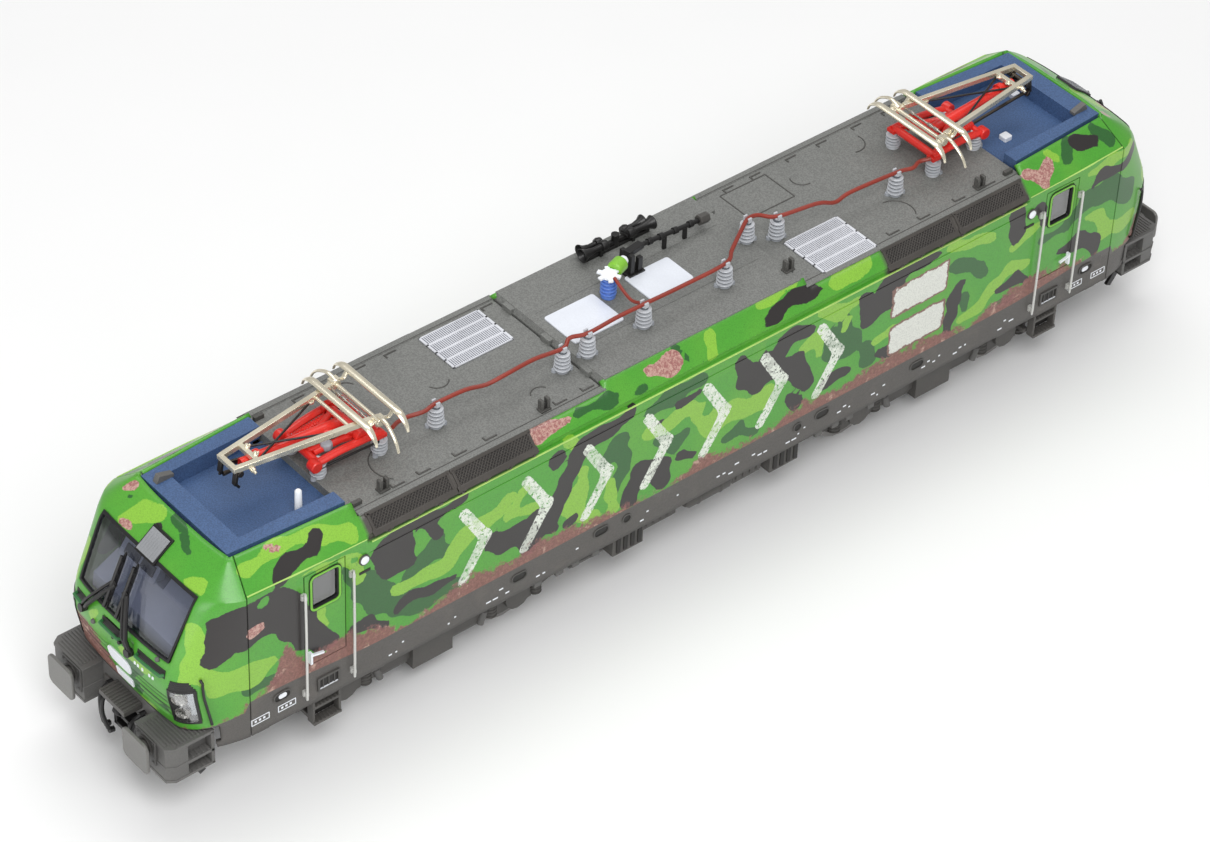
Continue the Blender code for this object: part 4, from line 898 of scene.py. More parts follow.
def body_rows():
    rows = spread(SILL_Z, RIB_Z[0], 6) + spread(RIB_Z[0], RIB_Z[1], 26) + spread(RIB_Z[1], SHELL_TOP_Z, 20)
    rows += [NOSE_BOTTOM_Z, *DOOR_WINDOW[2:], *SCREEN_OPENING, *LAMP_Z, *POCKET_Z]
    rows += [37.0, 37.15, 37.3, GUTTER_Z - 0.15, GUTTER_Z, GUTTER_Z + 0.12, 39.6, 40.1, CANT_Z, CHANNEL_TOP]
    for z in DOOR_Z:
        rows += [z - LINE_HALF, z, z + LINE_HALF]
    rows += [43.6, 44.2, CAB_ROOF_Z]
    rows = sorted(set(round(z, 3) for z in rows))
    kept = [rows[0]]
    for z in rows[1:]:
        if z - kept[-1] > 0.07:
            kept.append(z)
    return kept


def body_relief(q, x, z):
    """How far the surface steps out (or in) at a place, and how much black lies there: the engraved seam
    lines, and painted shade in the valleys of the nose ribs.
    """
    line = 0.0
    lift = 0.0
    if abs(q - side_q(SEAM_LINE_X)) < 1e-4:
        return -LINE_DEPTH, 1.0
    on_post = any(abs(x - d) < 0.02 for d in DOOR_X) and DOOR_Z[0] <= z <= DOOR_Z[1]
    on_rail = any(abs(z - d) < 0.01 for d in DOOR_Z) and DOOR_X[0] <= x <= DOOR_X[1]
    if q > SIDE and (on_post or on_rail):
        return -LINE_DEPTH, 1.0
    if x < 69.4:
        if abs(z - 37.15) < 0.02:
            return -0.1, 0.25
        if GUTTER_Z - 0.01 < z < CHANNEL_TOP - 0.05:
            lift = 0.16 if z < GUTTER_Z + 0.05 else -0.45
    if q <= CORNER and RIB_Z[0] < z < RIB_Z[1] and q > 0.24:
        fade = min(eased((q - 0.24) / 0.06), eased((0.97 - q) / 0.04))
        wave = math.sin((z - RIB_Z[0]) / (RIB_Z[1] - RIB_Z[0]) * math.pi * 8)
        lift = (0.2 * wave - 0.2) * fade
        # painted shade: the valleys between the nose ribs are darkened with the black line colour
        line = fade * min(max(0.4 - 1.5 * wave, 0.0), 0.85)
    if q <= 0.26 and POCKET_Z[0] < z < POCKET_Z[1]:
        lift = -0.9
    if LAMP_Q[0] < q < LAMP_Q[1] and LAMP_Z[0] < z < LAMP_Z[1]:
        lift = -0.9
    return lift, line


def build_body():
    """Outer skin of the whole body as one grid, thickened inwards, with its patch distances stored on it."""
    columns = body_columns()
    rows = body_rows()
    bm = bmesh.new()
    values = {name: [] for name in ("line", "channel", "sill", "mud", "board")}
    grids = []
    places = []
    for end in (1, -1):
        for side in (1, -1):
            grid = []
            for z in rows:
                row = []
                for q in columns:
                    flat = quarter_point(q, z)
                    lift, line = body_relief(q, flat.x, z)
                    point = surface_point(q, z, lift, side) if lift else Vector((flat.x, flat.y * side, z))
                    point.x *= end
                    row.append(bm.verts.new(point * MM))
                    places.append(point)
                    in_channel = 36.9 < flat.x < 69.4 and z > GUTTER_Z + 0.1
                    values["line"].append(line)
                    values["channel"].append(1.0 if in_channel else 0.0)
                grid.append(row)
            grids.append((end, side, grid))
    for end, side, grid in grids:
        for i in range(len(rows) - 1):
            middle_z = (rows[i] + rows[i + 1]) / 2
            for j in range(len(columns) - 1):
                q = (columns[j] + columns[j + 1]) / 2
                x = quarter_point(q, middle_z).x
                if q < CORNER and SCREEN_OPENING[0] < middle_z < SCREEN_OPENING[1]:
                    continue
                x0, x1, z0, z1 = DOOR_WINDOW
                if x0 < x < x1 and z0 < middle_z < z1 and q > SIDE:
                    continue
                if x > 97.5 and middle_z < NOSE_BOTTOM_Z:
                    continue
                top = CENTRE_TOP_Z if x < DECK_STEP_X else SHELL_TOP_Z
                if x < DECK_END_X and middle_z > top:
                    continue
                face = [grid[i][j], grid[i][j + 1], grid[i + 1][j + 1], grid[i + 1][j]]
                if end * side < 0:
                    face.reverse()
                bm.faces.new(face).smooth = True
    mesh = bpy.data.meshes.new("body_skin")
    bm.verts.ensure_lookup_table()
    points = np.array([tuple(p) for p in places])
    fields = patch_fields(points)
    flank = np.where(points[:, 1] < 0, points[:, 0], -points[:, 0])
    values["sill"] = list(points[:, 2] - np.array([sill_top(x) for x in points[:, 0]]))
    heights = np.interp(flank, [h[0] for h in MUD_HEIGHTS], [h[1] for h in MUD_HEIGHTS])
    across = -points[:, 1] * np.sign(points[:, 0])
    on_nose = np.clip((np.abs(points[:, 0]) - 97) / 4, 0, 1)
    heights = heights + (16.2 + 7.0 * np.clip(across / 8, 0, 1) - heights) * on_nose
    values["mud"] = list(points[:, 2] - heights)
    boards = np.full(len(points), FAR)
    for bx, bz in BOARDS:
        dx = np.abs(flank - bx) - BOARD_HALF[0]
        dz = np.abs(points[:, 2] - bz - 0.02 * (flank - bx)) - BOARD_HALF[1]
        away = np.where(np.abs(points[:, 1]) > 17, np.maximum(dx, dz), FAR)
        boards = np.minimum(boards, away)
    values["board"] = list(boards)
    for kind, field in fields.items():
        values[kind if kind in ("pale", "stone") else "camo_" + kind] = list(field)
    layers = {name: bm.verts.layers.float.new(name) for name in values}
    for name, layer in layers.items():
        for vertex, value in zip(bm.verts, values[name]):
            vertex[layer] = float(value)
    bmesh.ops.remove_doubles(bm, verts=bm.verts, dist=0.004 * MM)
    loose = [v for v in bm.verts if not v.link_faces]
    bmesh.ops.delete(bm, geom=loose, context="VERTS")
    bmesh.ops.recalc_face_normals(bm, faces=bm.faces)
    bm.to_mesh(mesh)
    bm.free()
    mesh.materials.append(M["camouflage"])
    mesh.set_sharp_from_angle(angle=math.radians(28))
    obj = new_object("body_skin", mesh)
    solid = obj.modifiers.new("thickness", "SOLIDIFY")
    solid.thickness = SKIN * MM
    solid.offset = -1.0
    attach(obj, ROOT)
    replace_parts(obj, "body_shell")


build_body()


# ---------------------------------------------------------------- cab ends


def ring(piece, outer, inner, low, high, plane="XZ"):
    """A closed frame between two outlines of equal length."""
    points = []
    for outline, level in ((outer, low), (outer, high), (inner, high), (inner, low)):
        points += laid(outline, level, plane)
    piece.add(points, ring_faces(len(outer)))


def plate(piece, outline, place, lift, depth):
    """A thin plate whose outline is laid on a surface by place(a, b, lift)."""
    points = [place(a, b, level) for level in (lift, lift - depth) for a, b in outline]
    piece.add(points, prism_faces(len(outline)))


def front_point(y, z, lift=0.0):
    return surface_point(min(abs(y) / level_value(z, 2), 1.99), z, lift, 1 if y >= 0 else -1)


def front_strip(piece, y_range, z_range, lift, depth, steps=10, z_steps=3):
    ys, zs = spread(*y_range, steps), spread(*z_range, z_steps)
    piece.sheet(*([[front_point(y, z, level) for y in ys] for z in zs] for level in (lift, lift - depth)))


def glazing(n, turn):
    piece = Piece(f"cab_glass_{n}", ROOT, "glazing", "glass", "door_glass", place=turn)
    front_strip(piece, (-11.9, 11.9), (29.4, 40.6), -0.12, 0.48, 24, 8)
    piece.paint = 1
    for side in SIDES:
        piece.side_box(side, (74.9, 81.1), (16.4, 16.9), (30.9, 38.5))
    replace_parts(piece.done(bevel=0), f"cab_glazing_{n}")


def screen_frame(n, turn):
    """Black rubber border round the windscreen."""
    piece = Piece(f"screen_frame_{n}", ROOT, "black_plastic", "rubber", place=turn)
    outer, inner = [], []
    for reach, loop in ((0.25, outer), (-0.16, inner)):
        low, high = 29.6 - reach, 40.4 + reach
        for i in range(13):
            y = -1 + i / 6
            loop.append((y * (11.55 + reach), low + 0.15 * y * y))
        for i in range(1, 9):
            z = low + (high - low) * i / 9
            loop.append((11.55 + reach + 0.62 * i / 9, z))
        for i in range(13):
            y = 1 - i / 6
            loop.append((y * (12.05 + reach), high - 0.25 * y * y))
        for i in range(8, 0, -1):
            z = low + (high - low) * i / 9
            loop.append((-11.55 - reach - 0.62 * i / 9, z))
    points = []
    for outline, lift in ((outer, -0.5), (outer, 0.16), (inner, 0.16), (inner, -0.5)):
        points += [front_point(y, z, lift) for y, z in outline]
    piece.add(points, ring_faces(len(outer)))
    piece.done(bevel=0.05)


def top_lamp(n, turn):
    piece = Piece(f"top_lamp_{n}", ROOT, "black_plastic", "black", "lamp_grey", place=turn)
    piece.prism([(95.2, 43.2), (99.1, 40.25), (98.0, 39.6), (94.1, 42.45)], -2.45, 2.45, "XZ")
    piece.paint = 1
    a, b = Vector((95.5, 0, 42.97)), Vector((98.8, 0, 40.48))
    normal = Vector((0.605, 0, 0.796))
    piece.bar(a + normal * 0.03, b + normal * 0.03, 4.3, 0.3, up=normal)
    for i in range(1, 8):
        y = -2.15 + 4.3 * i / 8
        offset = normal * 0.2 + Vector((0, y, 0))
        piece.bar(a + offset, b + offset, 0.07, 0.06, up=normal)
    piece.done(bevel=0.12)


# y of the pivot, of the arm's upper end and of the blade
WIPERS = ((4.0, 0.4, -0.2), (-8.5, -2.6, -3.4))


def wipers(n, turn):
    """Two wipers parked upright at the middle of the screen."""
    piece = Piece(f"wipers_{n}", ROOT, "black_plastic", "black", place=turn)
    for pivot_y, rest_y, blade_y in WIPERS:
        for shift in (0.0, -0.9):
            y = pivot_y + shift
            path = [front_point(y, 26.6, 0.5)]
            for t in (0.25, 0.5, 0.75, 1):
                path.append(front_point(y + (rest_y - pivot_y) * t, 26.6 + 7.6 * t, 1.1))
            piece.tube(path, 0.4 if shift == 0 else 0.3, 6)
        hub = front_point(pivot_y - 0.4, 26.5, 0.0)
        piece.rod(hub, front_point(pivot_y - 0.4, 26.5, 1.1), 0.75, 12)
        piece.tube([front_point(blade_y, z, 1.1) for z in spread(30.2, 38.4, 6)], 0.34, 6)
        rubber = [front_point(blade_y, z, 0.5) for z in spread(29.8, 38.9, 8)]
        piece.tube(rubber, [0.2] + [0.36] * 7 + [0.2], 4)
        for z in (31.2, 33.4, 35.6, 37.6):
            a, b = front_point(blade_y, z, 0.4), front_point(blade_y, z, 1.2)
            piece.bar(a, b, 0.3, 0.7, up=ASIDE)
        piece.bar(front_point(rest_y, 34.2, 1.1), front_point(blade_y, 34.4, 1.05), 0.5, 0.4,
                  up=(0.8, 0, 0.6))
    piece.done(bevel=0.05)


GRIP_SPANS = ((5.0, 11.6), (-4.3, 1.2), (-11.8, -8.6))


def nose_trim(n, turn):
    """Recessed hand grips under the screen, blank plates, and small fixings."""
    piece = Piece(f"nose_trim_{n}", ROOT, "black_plastic", "vent_dark", "grip", "white", "beam", place=turn)
    for y0, y1 in GRIP_SPANS:
        piece.paint = 0
        front_strip(piece, (y0, y1), (26.5, 28.1), 0.08, 0.4)
        piece.paint = 1
        path = [front_point(y0 + 0.2, 27.2, 0.1)]
        path += [front_point(y, 27.2, 0.75) for y in spread(y0 + 0.45, y1 - 0.45, 8)]
        path += [front_point(y1 - 0.2, 27.2, 0.1)]
        piece.tube(path, 0.3, 8)
    piece.paint = 2
    plate(piece, rounded(6.0, 3.2, 1.3, centre=(0, 22.0)), front_point, 0.22, 0.5)
    plate(piece, rounded(4.4, 1.8, 0.3, centre=(0.2, 18.2)), front_point, 0.22, 0.5)
    for y in (-6.5, -5.4, -4.6, -8.2, -9.0):
        plate(piece, rounded(0.45, 0.6, 0.1, centre=(y * -1, 25.0)), front_point, 0.1, 0.25)
    piece.paint = 3
    for y, z in ((2.6, 25.2), (-6.4, 25.4), (9.6, 29.0)):
        piece.ball(front_point(y, z, 0.15), 0.45, 10)
    piece.paint = 0
    for y in (-0.8, 0.8):
        piece.rod(front_point(y, 26.4, -0.2), front_point(y, 26.4, 0.5), 0.35, 10)
    piece.done(bevel=0.05)


def headlamps(n, turn):
    shell = Piece(f"lamp_housings_{n}", ROOT, "black_plastic", "black", "reflector", "nickel", place=turn)
    lens = Piece(f"lamp_lenses_{n}", ROOT, "glazing", "lens", place=turn)
    for side in SIDES:
        qs = spread(LAMP_Q[0] - 0.02, LAMP_Q[1] + 0.02, 8)
        shell.paint = 1
        skin(shell, spread(LAMP_Q[0], LAMP_Q[1], 8), spread(LAMP_Z[0], LAMP_Z[1], 8), -0.62, 0.2, side)
        shell.paint = 0
        skin(shell, qs, [LAMP_Z[0] - 0.3, LAMP_Z[0] + 0.1], 0.16, 1.0, side)
        skin(shell, qs, [LAMP_Z[1] - 0.1, LAMP_Z[1] + 0.3], 0.16, 1.0, side)
        for q in (LAMP_Q[0], LAMP_Q[1]):
            skin(shell, [q - 0.022, q + 0.022], spread(LAMP_Z[0] - 0.3, LAMP_Z[1] + 0.3, 6), 0.16, 1.0, side)
        for i, z in enumerate(spread(LAMP_Z[1] + 0.3, LAMP_Z[1] + 2.0, 4)[:-1]):
            shrink = 0.02 + 0.03 * i
            skin(shell, spread(1.02 + shrink * 0.4, 1.5 - shrink, 6), [z, z + 0.45], 0.1, 0.4, side)
        for z in (19.9, 23.0):
            centre = surface_point(1.22, z, -0.5, side)
            out = surface_point(1.22, z, 0.5, side) - centre
            shell.paint = 2
            shell.lathe([(-0.1, 1.2), (0.32, 1.3), (0.4, 1.2), (0.1, 0.85), (0.0, 0.35), (0.12, 0.0)],
                        centre, out, 20)
        skin(lens, spread(LAMP_Q[0] + 0.01, LAMP_Q[1] - 0.01, 8),
             spread(LAMP_Z[0] + 0.1, LAMP_Z[1] - 0.1, 6), 0.06, 0.16, side)
        shell.paint = 0
        path = [surface_point(1.53, 27.2, 0.1, side)]
        path += [surface_point(1.55 + 0.05 * t, 26.8 - 9.0 * t, 0.62, side) for t in spread(0, 1, 8)]
        path += [surface_point(1.6, 17.3, 0.1, side)]
        shell.tube(path, 0.24, 8)
    shell.done(bevel=0.04)
    lens.done(bevel=0)


# Along the flank beside the cab door: x and z of each part, and x and z range of the two rails
SIDE_LAMP = (70.7, 36.4)
JACK_PAD = (86.5, 17.0)
TREAD_HOLE = (77.7, 15.2)
HAND_RAILS = ((82.3, 15.2, 35.3), (73.2, 14.8, 35.0))


def flank_point(side):
    return lambda x, z, lift=0.0: Vector((x, side * (level_value(z, 6) + lift), z))


def doors(n, turn):
    """Door window frames, handle, hand rails, side lamp and the openings in the sill, on both sides."""
    trim = Piece(f"door_trim_{n}", ROOT, "black_plastic", "rubber", "frame", "white", "vent_dark", "lime",
                 "door_rim",
                 place=turn)
    rails = Piece(f"hand_rails_{n}", ROOT, "steel", "rail", place=turn)
    x0, x1, z0, z1 = DOOR_WINDOW
    middle = ((x0 + x1) / 2, (z0 + z1) / 2)
    for side in SIDES:
        outlines = [rounded(x1 - x0 + grow, z1 - z0 + grow, 0.85 + grow / 2, centre=middle)
                    for grow in (0.75, 0.4, -0.35, -0.8)]
        for i, (paint, y) in enumerate(((0, 17.3), (5, 17.38), (0, 17.26))):
            trim.paint = paint
            ring(trim, outlines[i], outlines[i + 1], *outward(side, 16.5, y))
        at = flank_point(side)
        trim.paint = 2
        trim.side_box(side, (81.0, 81.4), (17.1, 17.9), (20.9, 23.2))
        trim.bar(at(81.2, 22.8, 0.6), at(78.9, 22.3, 0.6), 0.35, 0.4, up=ASIDE)
        trim.side_box(side, (75.9, 79.5), (17.1, 17.45), (14.0, 14.28))
        trim.paint = 3
        trim.side_box(side, (75.9, 79.5), (17.0, 17.26), (14.3, 16.2))
        trim.side_box(side, (69.5, 71.6), (17.0, 17.3), (33.6, 34.1))
        trim.paint = 1
        ring(trim, rounded(4.3, 2.8, 0.25, centre=TREAD_HOLE), rounded(3.5, 2.0, 0.15, centre=TREAD_HOLE),
             *outward(side, 17.0, 17.5))
        for i in range(3):
            x = 76.6 + 1.1 * i
            trim.side_box(side, (x - 0.08, x + 0.08), (17.1, 17.4), (14.3, 16.2))
        # jacking point: an oval rim round a dark hole with a bright pad
        ring(trim, rounded(3.4, 2.0, 0.95, 6, JACK_PAD), rounded(2.9, 1.5, 0.72, 6, JACK_PAD),
             *outward(side, 17.0, 17.42))
        trim.paint = 3
        trim.prism(rounded(3.0, 1.6, 0.75, 6, JACK_PAD), *outward(side, 17.0, 17.24), "XZ")
        trim.paint = 2
        trim.prism(rounded(1.5, 0.9, 0.4, 6, (86.4, 17.0)), *outward(side, 17.0, 17.34), "XZ")
        # side lamp
        trim.lathe([(0, 0.8), (0.5, 0.75), (0.62, 0.5), (0.62, 0)], at(*SIDE_LAMP, -0.1), (0, side, 0), 16)
        trim.paint = 1
        trim.lathe([(0, 1.0), (0.3, 1.0), (0.3, 0.82), (0, 0.82), (0, 1.0)], at(*SIDE_LAMP, 0.0),
                   (0, side, 0), 16)
        # pale lime strip along the cab gutter: a painted highlight on the gutter edge
        trim.paint = 4
        rows = []
        for lift in (0.12, -0.2):
            rows.append([])
            for offset in (0.0, 0.15):
                line = []
                for t in spread(0, 1, 14):
                    x = 92.2 - 22.1 * t
                    line.append(surface_point(side_q(x), 40.55 - 0.45 * t + offset, lift, side))
                rows[-1].append(line)
        trim.sheet(*rows)
        for x, z_low, z_high in HAND_RAILS:
            path = [at(x, z_low, -0.1), at(x, z_low, 0.55), at(x, z_low + 0.5, 0.85)]
            path += [at(x, z_high - 0.5, 0.85), at(x, z_high, 0.55), at(x, z_high, -0.1)]
            rails.tube(curve_through(path, 3), 0.23, 8)
            for z in (z_low, z_high):
                rails.solid_box(at(x, z, 0.2), (0.7, 0.4, 1.2))
                rails.solid_box(at(x, z, 0.65), (0.5, 0.6, 0.7))
    trim.done(bevel=0.05)
    rails.done(bevel=0.05)


def steps(n, turn):
    """Foot steps under the cab doors, carried on brackets of the bogie so that they turn with it."""
    piece = Piece(f"door_steps_{n}", f"bogie_{n}", "frame_grey", "frame", "vent_dark", place=turn)
    for side in SIDES:
        for x in (75.4, 80.4):
            piece.bar((x, side * 16.3, 11.6), (x, side * 16.3, 6.9), 1.5, 0.45, up=ALONG)
            piece.bar((x - 0.4, side * 12.0, 7.6), (x - 0.4, side * 15.5, 7.6), 1.0, 0.8)
        for z, out in ((7.0, 0.2), (10.2, 0.0)):
            y = side * (16.25 + out)
            piece.box((75.2, y - 0.85, z - 0.25), (80.6, y + 0.85, z + 0.25))
            for i in range(7):
                x = 75.8 + 0.7 * i
                piece.box((x, y - 0.8, z + 0.2), (x + 0.3, y + 0.8, z + 0.38))
        piece.paint = 1
        piece.side_box(side, (75.5, 80.3), (15.35, 15.6), (7.2, 11.5))
        piece.paint = 0
        piece.side_box(side, (75.0, 80.8), (15.4, 16.9), (11.2, 11.65))
    piece.done(bevel=0.08)


def dashboard(n, turn):
    """Driver's desk and the rear wall that show through the windscreen."""
    piece = Piece(f"dashboard_{n}", ROOT, "interior_grey", "interior", "interior_dark", "seat", place=turn)
    piece.prism([(101.6, 28.0), (101.2, 30.6), (96.6, 33.0), (92.2, 32.4), (92.2, 28.0)], -10.9, 10.9, "XZ")
    piece.prism([(97.4, 32.4), (95.2, 35.6), (94.4, 35.4), (94.9, 32.4)], -10.2, -0.8, "XZ")
    piece.prism([(97.4, 32.4), (95.0, 34.6), (94.4, 34.4), (94.9, 32.4)], 1.2, 10.2, "XZ")
    piece.paint = 1
    piece.prism([(96.9, 33.6), (95.9, 35.0), (95.7, 34.9), (96.6, 33.4)], -9.0, -5.4, "XZ")
    piece.prism([(96.9, 33.6), (95.9, 35.0), (95.7, 34.9), (96.6, 33.4)], -4.8, -1.6, "XZ")
    piece.box((88.4, -11.0, 29.0), (89.2, 11.0, 40.6))
    piece.paint = 2
    piece.prism(rounded(5.0, 6.6, 1.2, centre=(4.2, 33.8)), 90.0, 91.2, "YZ")
    piece.done(bevel=0.15)


M["grip"] = painted("grip_green", (52, 112, 62), 0.4, tint=0.1)
M["lamp_grey"] = painted("top_lamp_lens", (140, 142, 145), 0.2, tint=0.08, coat=0.3)
M["door_rim"] = painted("door_rim_green", (118, 188, 58), 0.36, tint=0.1)
M["rail"] = painted("hand_rail_silver", (206, 206, 202), 0.3, 0.35, tint=0.05)
for n, turn in ENDS:
    glazing(n, turn)
    screen_frame(n, turn)
    top_lamp(n, turn)
    wipers(n, turn)
    nose_trim(n, turn)
    headlamps(n, turn)
    doors(n, turn)
    steps(n, turn)
    dashboard(n, turn)


# ---------------------------------------------------------------- roof


def deck_z(x):
    return DECK_CENTRE_Z if abs(x) < DECK_STEP_X else DECK_Z


VENT_SPANS = ((-68.6, -52.9), (-52.3, -37.0), (37.6, 53.1), (53.7, 69.2))


def slope_point(x, z, lift):
    """Point on the -Y side's sloping roof edge."""
    point = surface_point(side_q(abs(x)), z, lift, -1)
    return Vector((math.copysign(point.x, x), point.y, z))


def slope_slab(piece, x0, x1, z0, z1, lift, depth):
    grids = []
    for level in (lift, lift - depth):
        grids.append([[slope_point(x, z, level) for x in spread(x0, x1, 2)] for z in (z0, z1)])
    piece.sheet(*grids)


def slope_vents():
    """Louvred air intakes on the sloping roof edge: framed panels with a diagonal mesh."""
    frames = Piece("vent_frames", ROOT, "roof_grey", "vent", "vent_dark")
    meshes = Piece("vent_meshes", ROOT, "roof_grey", "vent")
    for turn in (Matrix(), HALF_TURN):
        frames.place = meshes.place = turn
        for x0, x1 in VENT_SPANS:
            frames.paint = 1
            slope_slab(frames, x0, x1, 40.4, 42.95, 0.1, 0.5)
            frames.paint = 0
            slope_slab(frames, x0 - 0.2, x1 + 0.2, 40.3, 40.95, 0.42, 0.6)
            slope_slab(frames, x0 - 0.2, x1 + 0.2, 42.75, 43.1, 0.42, 0.6)
            for x in (x0, x1 - 0.45):
                slope_slab(frames, x, x + 0.45, 40.5, 43.0, 0.42, 0.6)
            low, high, lean = 40.9, 42.8, 2.4
            count = int((x1 - x0) / 0.62)
            for i in range(-3, count):
                for way in (1, -1):
                    start = x0 + 0.4 + 0.62 * i
                    xa, xb = (start, start + lean) if way > 0 else (start + lean, start)
                    ta, tb = 0.0, 1.0
                    for limit, sign in ((x0 + 0.3, 1), (x1 - 0.3, -1)):
                        if (xa - limit) * sign < 0:
                            ta = max(ta, (limit - xa) / (xb - xa))
                        if (xb - limit) * sign < 0:
                            tb = min(tb, (limit - xa) / (xb - xa))
                    if tb - ta < 0.1:
                        continue
                    ends = [slope_point(xa + (xb - xa) * t, low + (high - low) * t, 0.16) for t in (ta, tb)]
                    meshes.tube(ends, 0.085, 4)
    frames.done(bevel=0.05)
    meshes.done(bevel=0)


def gutters():
    """The gutter strip along both flanks, coloured pale lime as a painted highlight along its edge, and the
    clips in the channel above it.
    """
    lines = Piece("gutter_highlight_lines", ROOT, "camo_shell", "lime")
    clips = Piece("channel_clips", ROOT, "roof_grey", "vent", "vent_dark")
    for side in SIDES:
        low, high = outward(side, 17.0, 17.4)
        # painted highlight: the gutter strip is coloured pale lime to stand for light along its edge
        lines.box((-69.2, low, 39.12), (69.2, high, 39.34))
        for x in (-66.5, -61.8, -57.1, -52.4, -47.7, -43.0, -38.3, 39.3, 44.0, 48.7, 53.4, 58.1, 62.8):
            wide = 1.6 if int(x * 2) % 3 else 2.6
            clips.side_box(side, (x, x + wide), (16.6, 17.2), (39.62, 40.3))
            clips.side_box(side, (x + wide * 0.3, x + wide * 0.6), (16.7, 17.36), (39.5, 39.9))
        for x in (-69.6, 69.6):
            clips.prism([(x - 0.3, 40.4), (x + 0.3, 40.4), (x + 0.3, 43.1), (x - 0.3, 43.1)],
                        *outward(side, 13.9, 14.5), "XZ")
    lines.done(bevel=0.08)
    clips.done(bevel=0.06)


def grille(name, low, high):
    """A white louvred grille: four rows of narrow slots in a plate."""
    piece = Piece(name, ROOT, "roof_grey", "slat_hollow", "slat")
    (x0, y0), (x1, y1) = low, high
    z = deck_z((x0 + x1) / 2)
    piece.box((x0, y0, z - 0.05), (x1, y1, z + 0.1))
    piece.paint = 1
    across = 4
    for i in range(across + 1):
        y = y0 + (y1 - y0) * i / across
        piece.box((x0, max(y - 0.2, y0), z), (x1, min(y + 0.2, y1), z + 0.3))
    for x in (x0, x1 - 0.4):
        piece.box((x, y0, z), (x + 0.4, y1, z + 0.3))
    count = 32
    for i in range(1, count):
        x = x0 + (x1 - x0) * i / count
        piece.box((x - 0.1, y0 + 0.15, z), (x + 0.1, y1 - 0.15, z + 0.24))
    piece.done(bevel=0.03, segments=1)


COVERS = ((-19.0, -4.5, -8.8, 3.7), (-2.3, -3.2, 7.0, 3.7))
# Centre x, y, radius and starting angle of the short curved pipes on the roof
ROOF_ARCS = (
    (-57.5, -8.2, 4.4, 100),
    (-41, 3.2, 2.0, 200),
    (-54, 9.5, 2.2, 20),
    (40, 7.6, 2.0, 150),
    (46, -9.2, 3.4, 320),
    (-30, -9.6, 1.8, 30),
    (53, 9.8, 2.6, 250),
)


def roof_plates():
    """Bright cable covers and the thin seams, lugs and stiffening marks moulded on the roof."""
    covers = Piece("cable_covers", ROOT, "roof_grey", "cover")
    for x0, y0, x1, y1 in COVERS:
        centre = ((x0 + x1) / 2, (y0 + y1) / 2)
        covers.prism(rounded(x1 - x0, y1 - y0, 0.5, centre=centre), 44.25, 44.62)
    covers.done(bevel=0.1)
    marks = Piece("roof_marks", ROOT, "roof_grey", "roof_dark", "roof")
    for x0, x1, y in ((25.7, 35.7, 4.5), (25.7, 35.7, 12.0)):
        marks.box((x0, y - 0.12, 43.05), (x1, y + 0.12, 43.2))
    for x in (25.7, 35.7):
        marks.box((x - 0.12, 4.5, 43.05), (x + 0.12, 12.0, 43.2))
    for x in (-62, -57, -50, -44, -30, -24.5, 27, 33, 41, 48, 56, 63):
        for side in SIDES:
            z = deck_z(x)
            marks.box((x, side * 12.9 - 0.14, z - 0.05), (x + 2.4, side * 12.9 + 0.14, z + 0.16))
            marks.side_box(side, (x, x + 0.28), (12.9, 12.1), (z - 0.05, z + 0.16))
    for cx, cy, r, start in ROOF_ARCS:
        path = []
        for i in range(15):
            angle = math.radians(start + 9 * i)
            path.append((cx + r * math.cos(angle), cy + r * math.sin(angle), 43.12))
        marks.tube(path, 0.13, 6)
    for x in (-68.6, 68.6):
        for side in SIDES:
            marks.box((x - 0.9, side * 12.6 - 0.35, 43.0), (x + 0.9, side * 12.6 + 0.35, 43.9))
    marks.paint = 1
    for x in (-20.9, 20.9):
        for y in (-9.8, 0.0, 9.8):
            marks.box((x - 0.8, y - 1.1, 43.0), (x + 0.8, y + 1.1, 44.15))
    for y in (-5.5, 5.5):
        marks.box((-19, y - 0.1, 44.25), (19, y + 0.1, 44.4))
    marks.done(bevel=0.06)


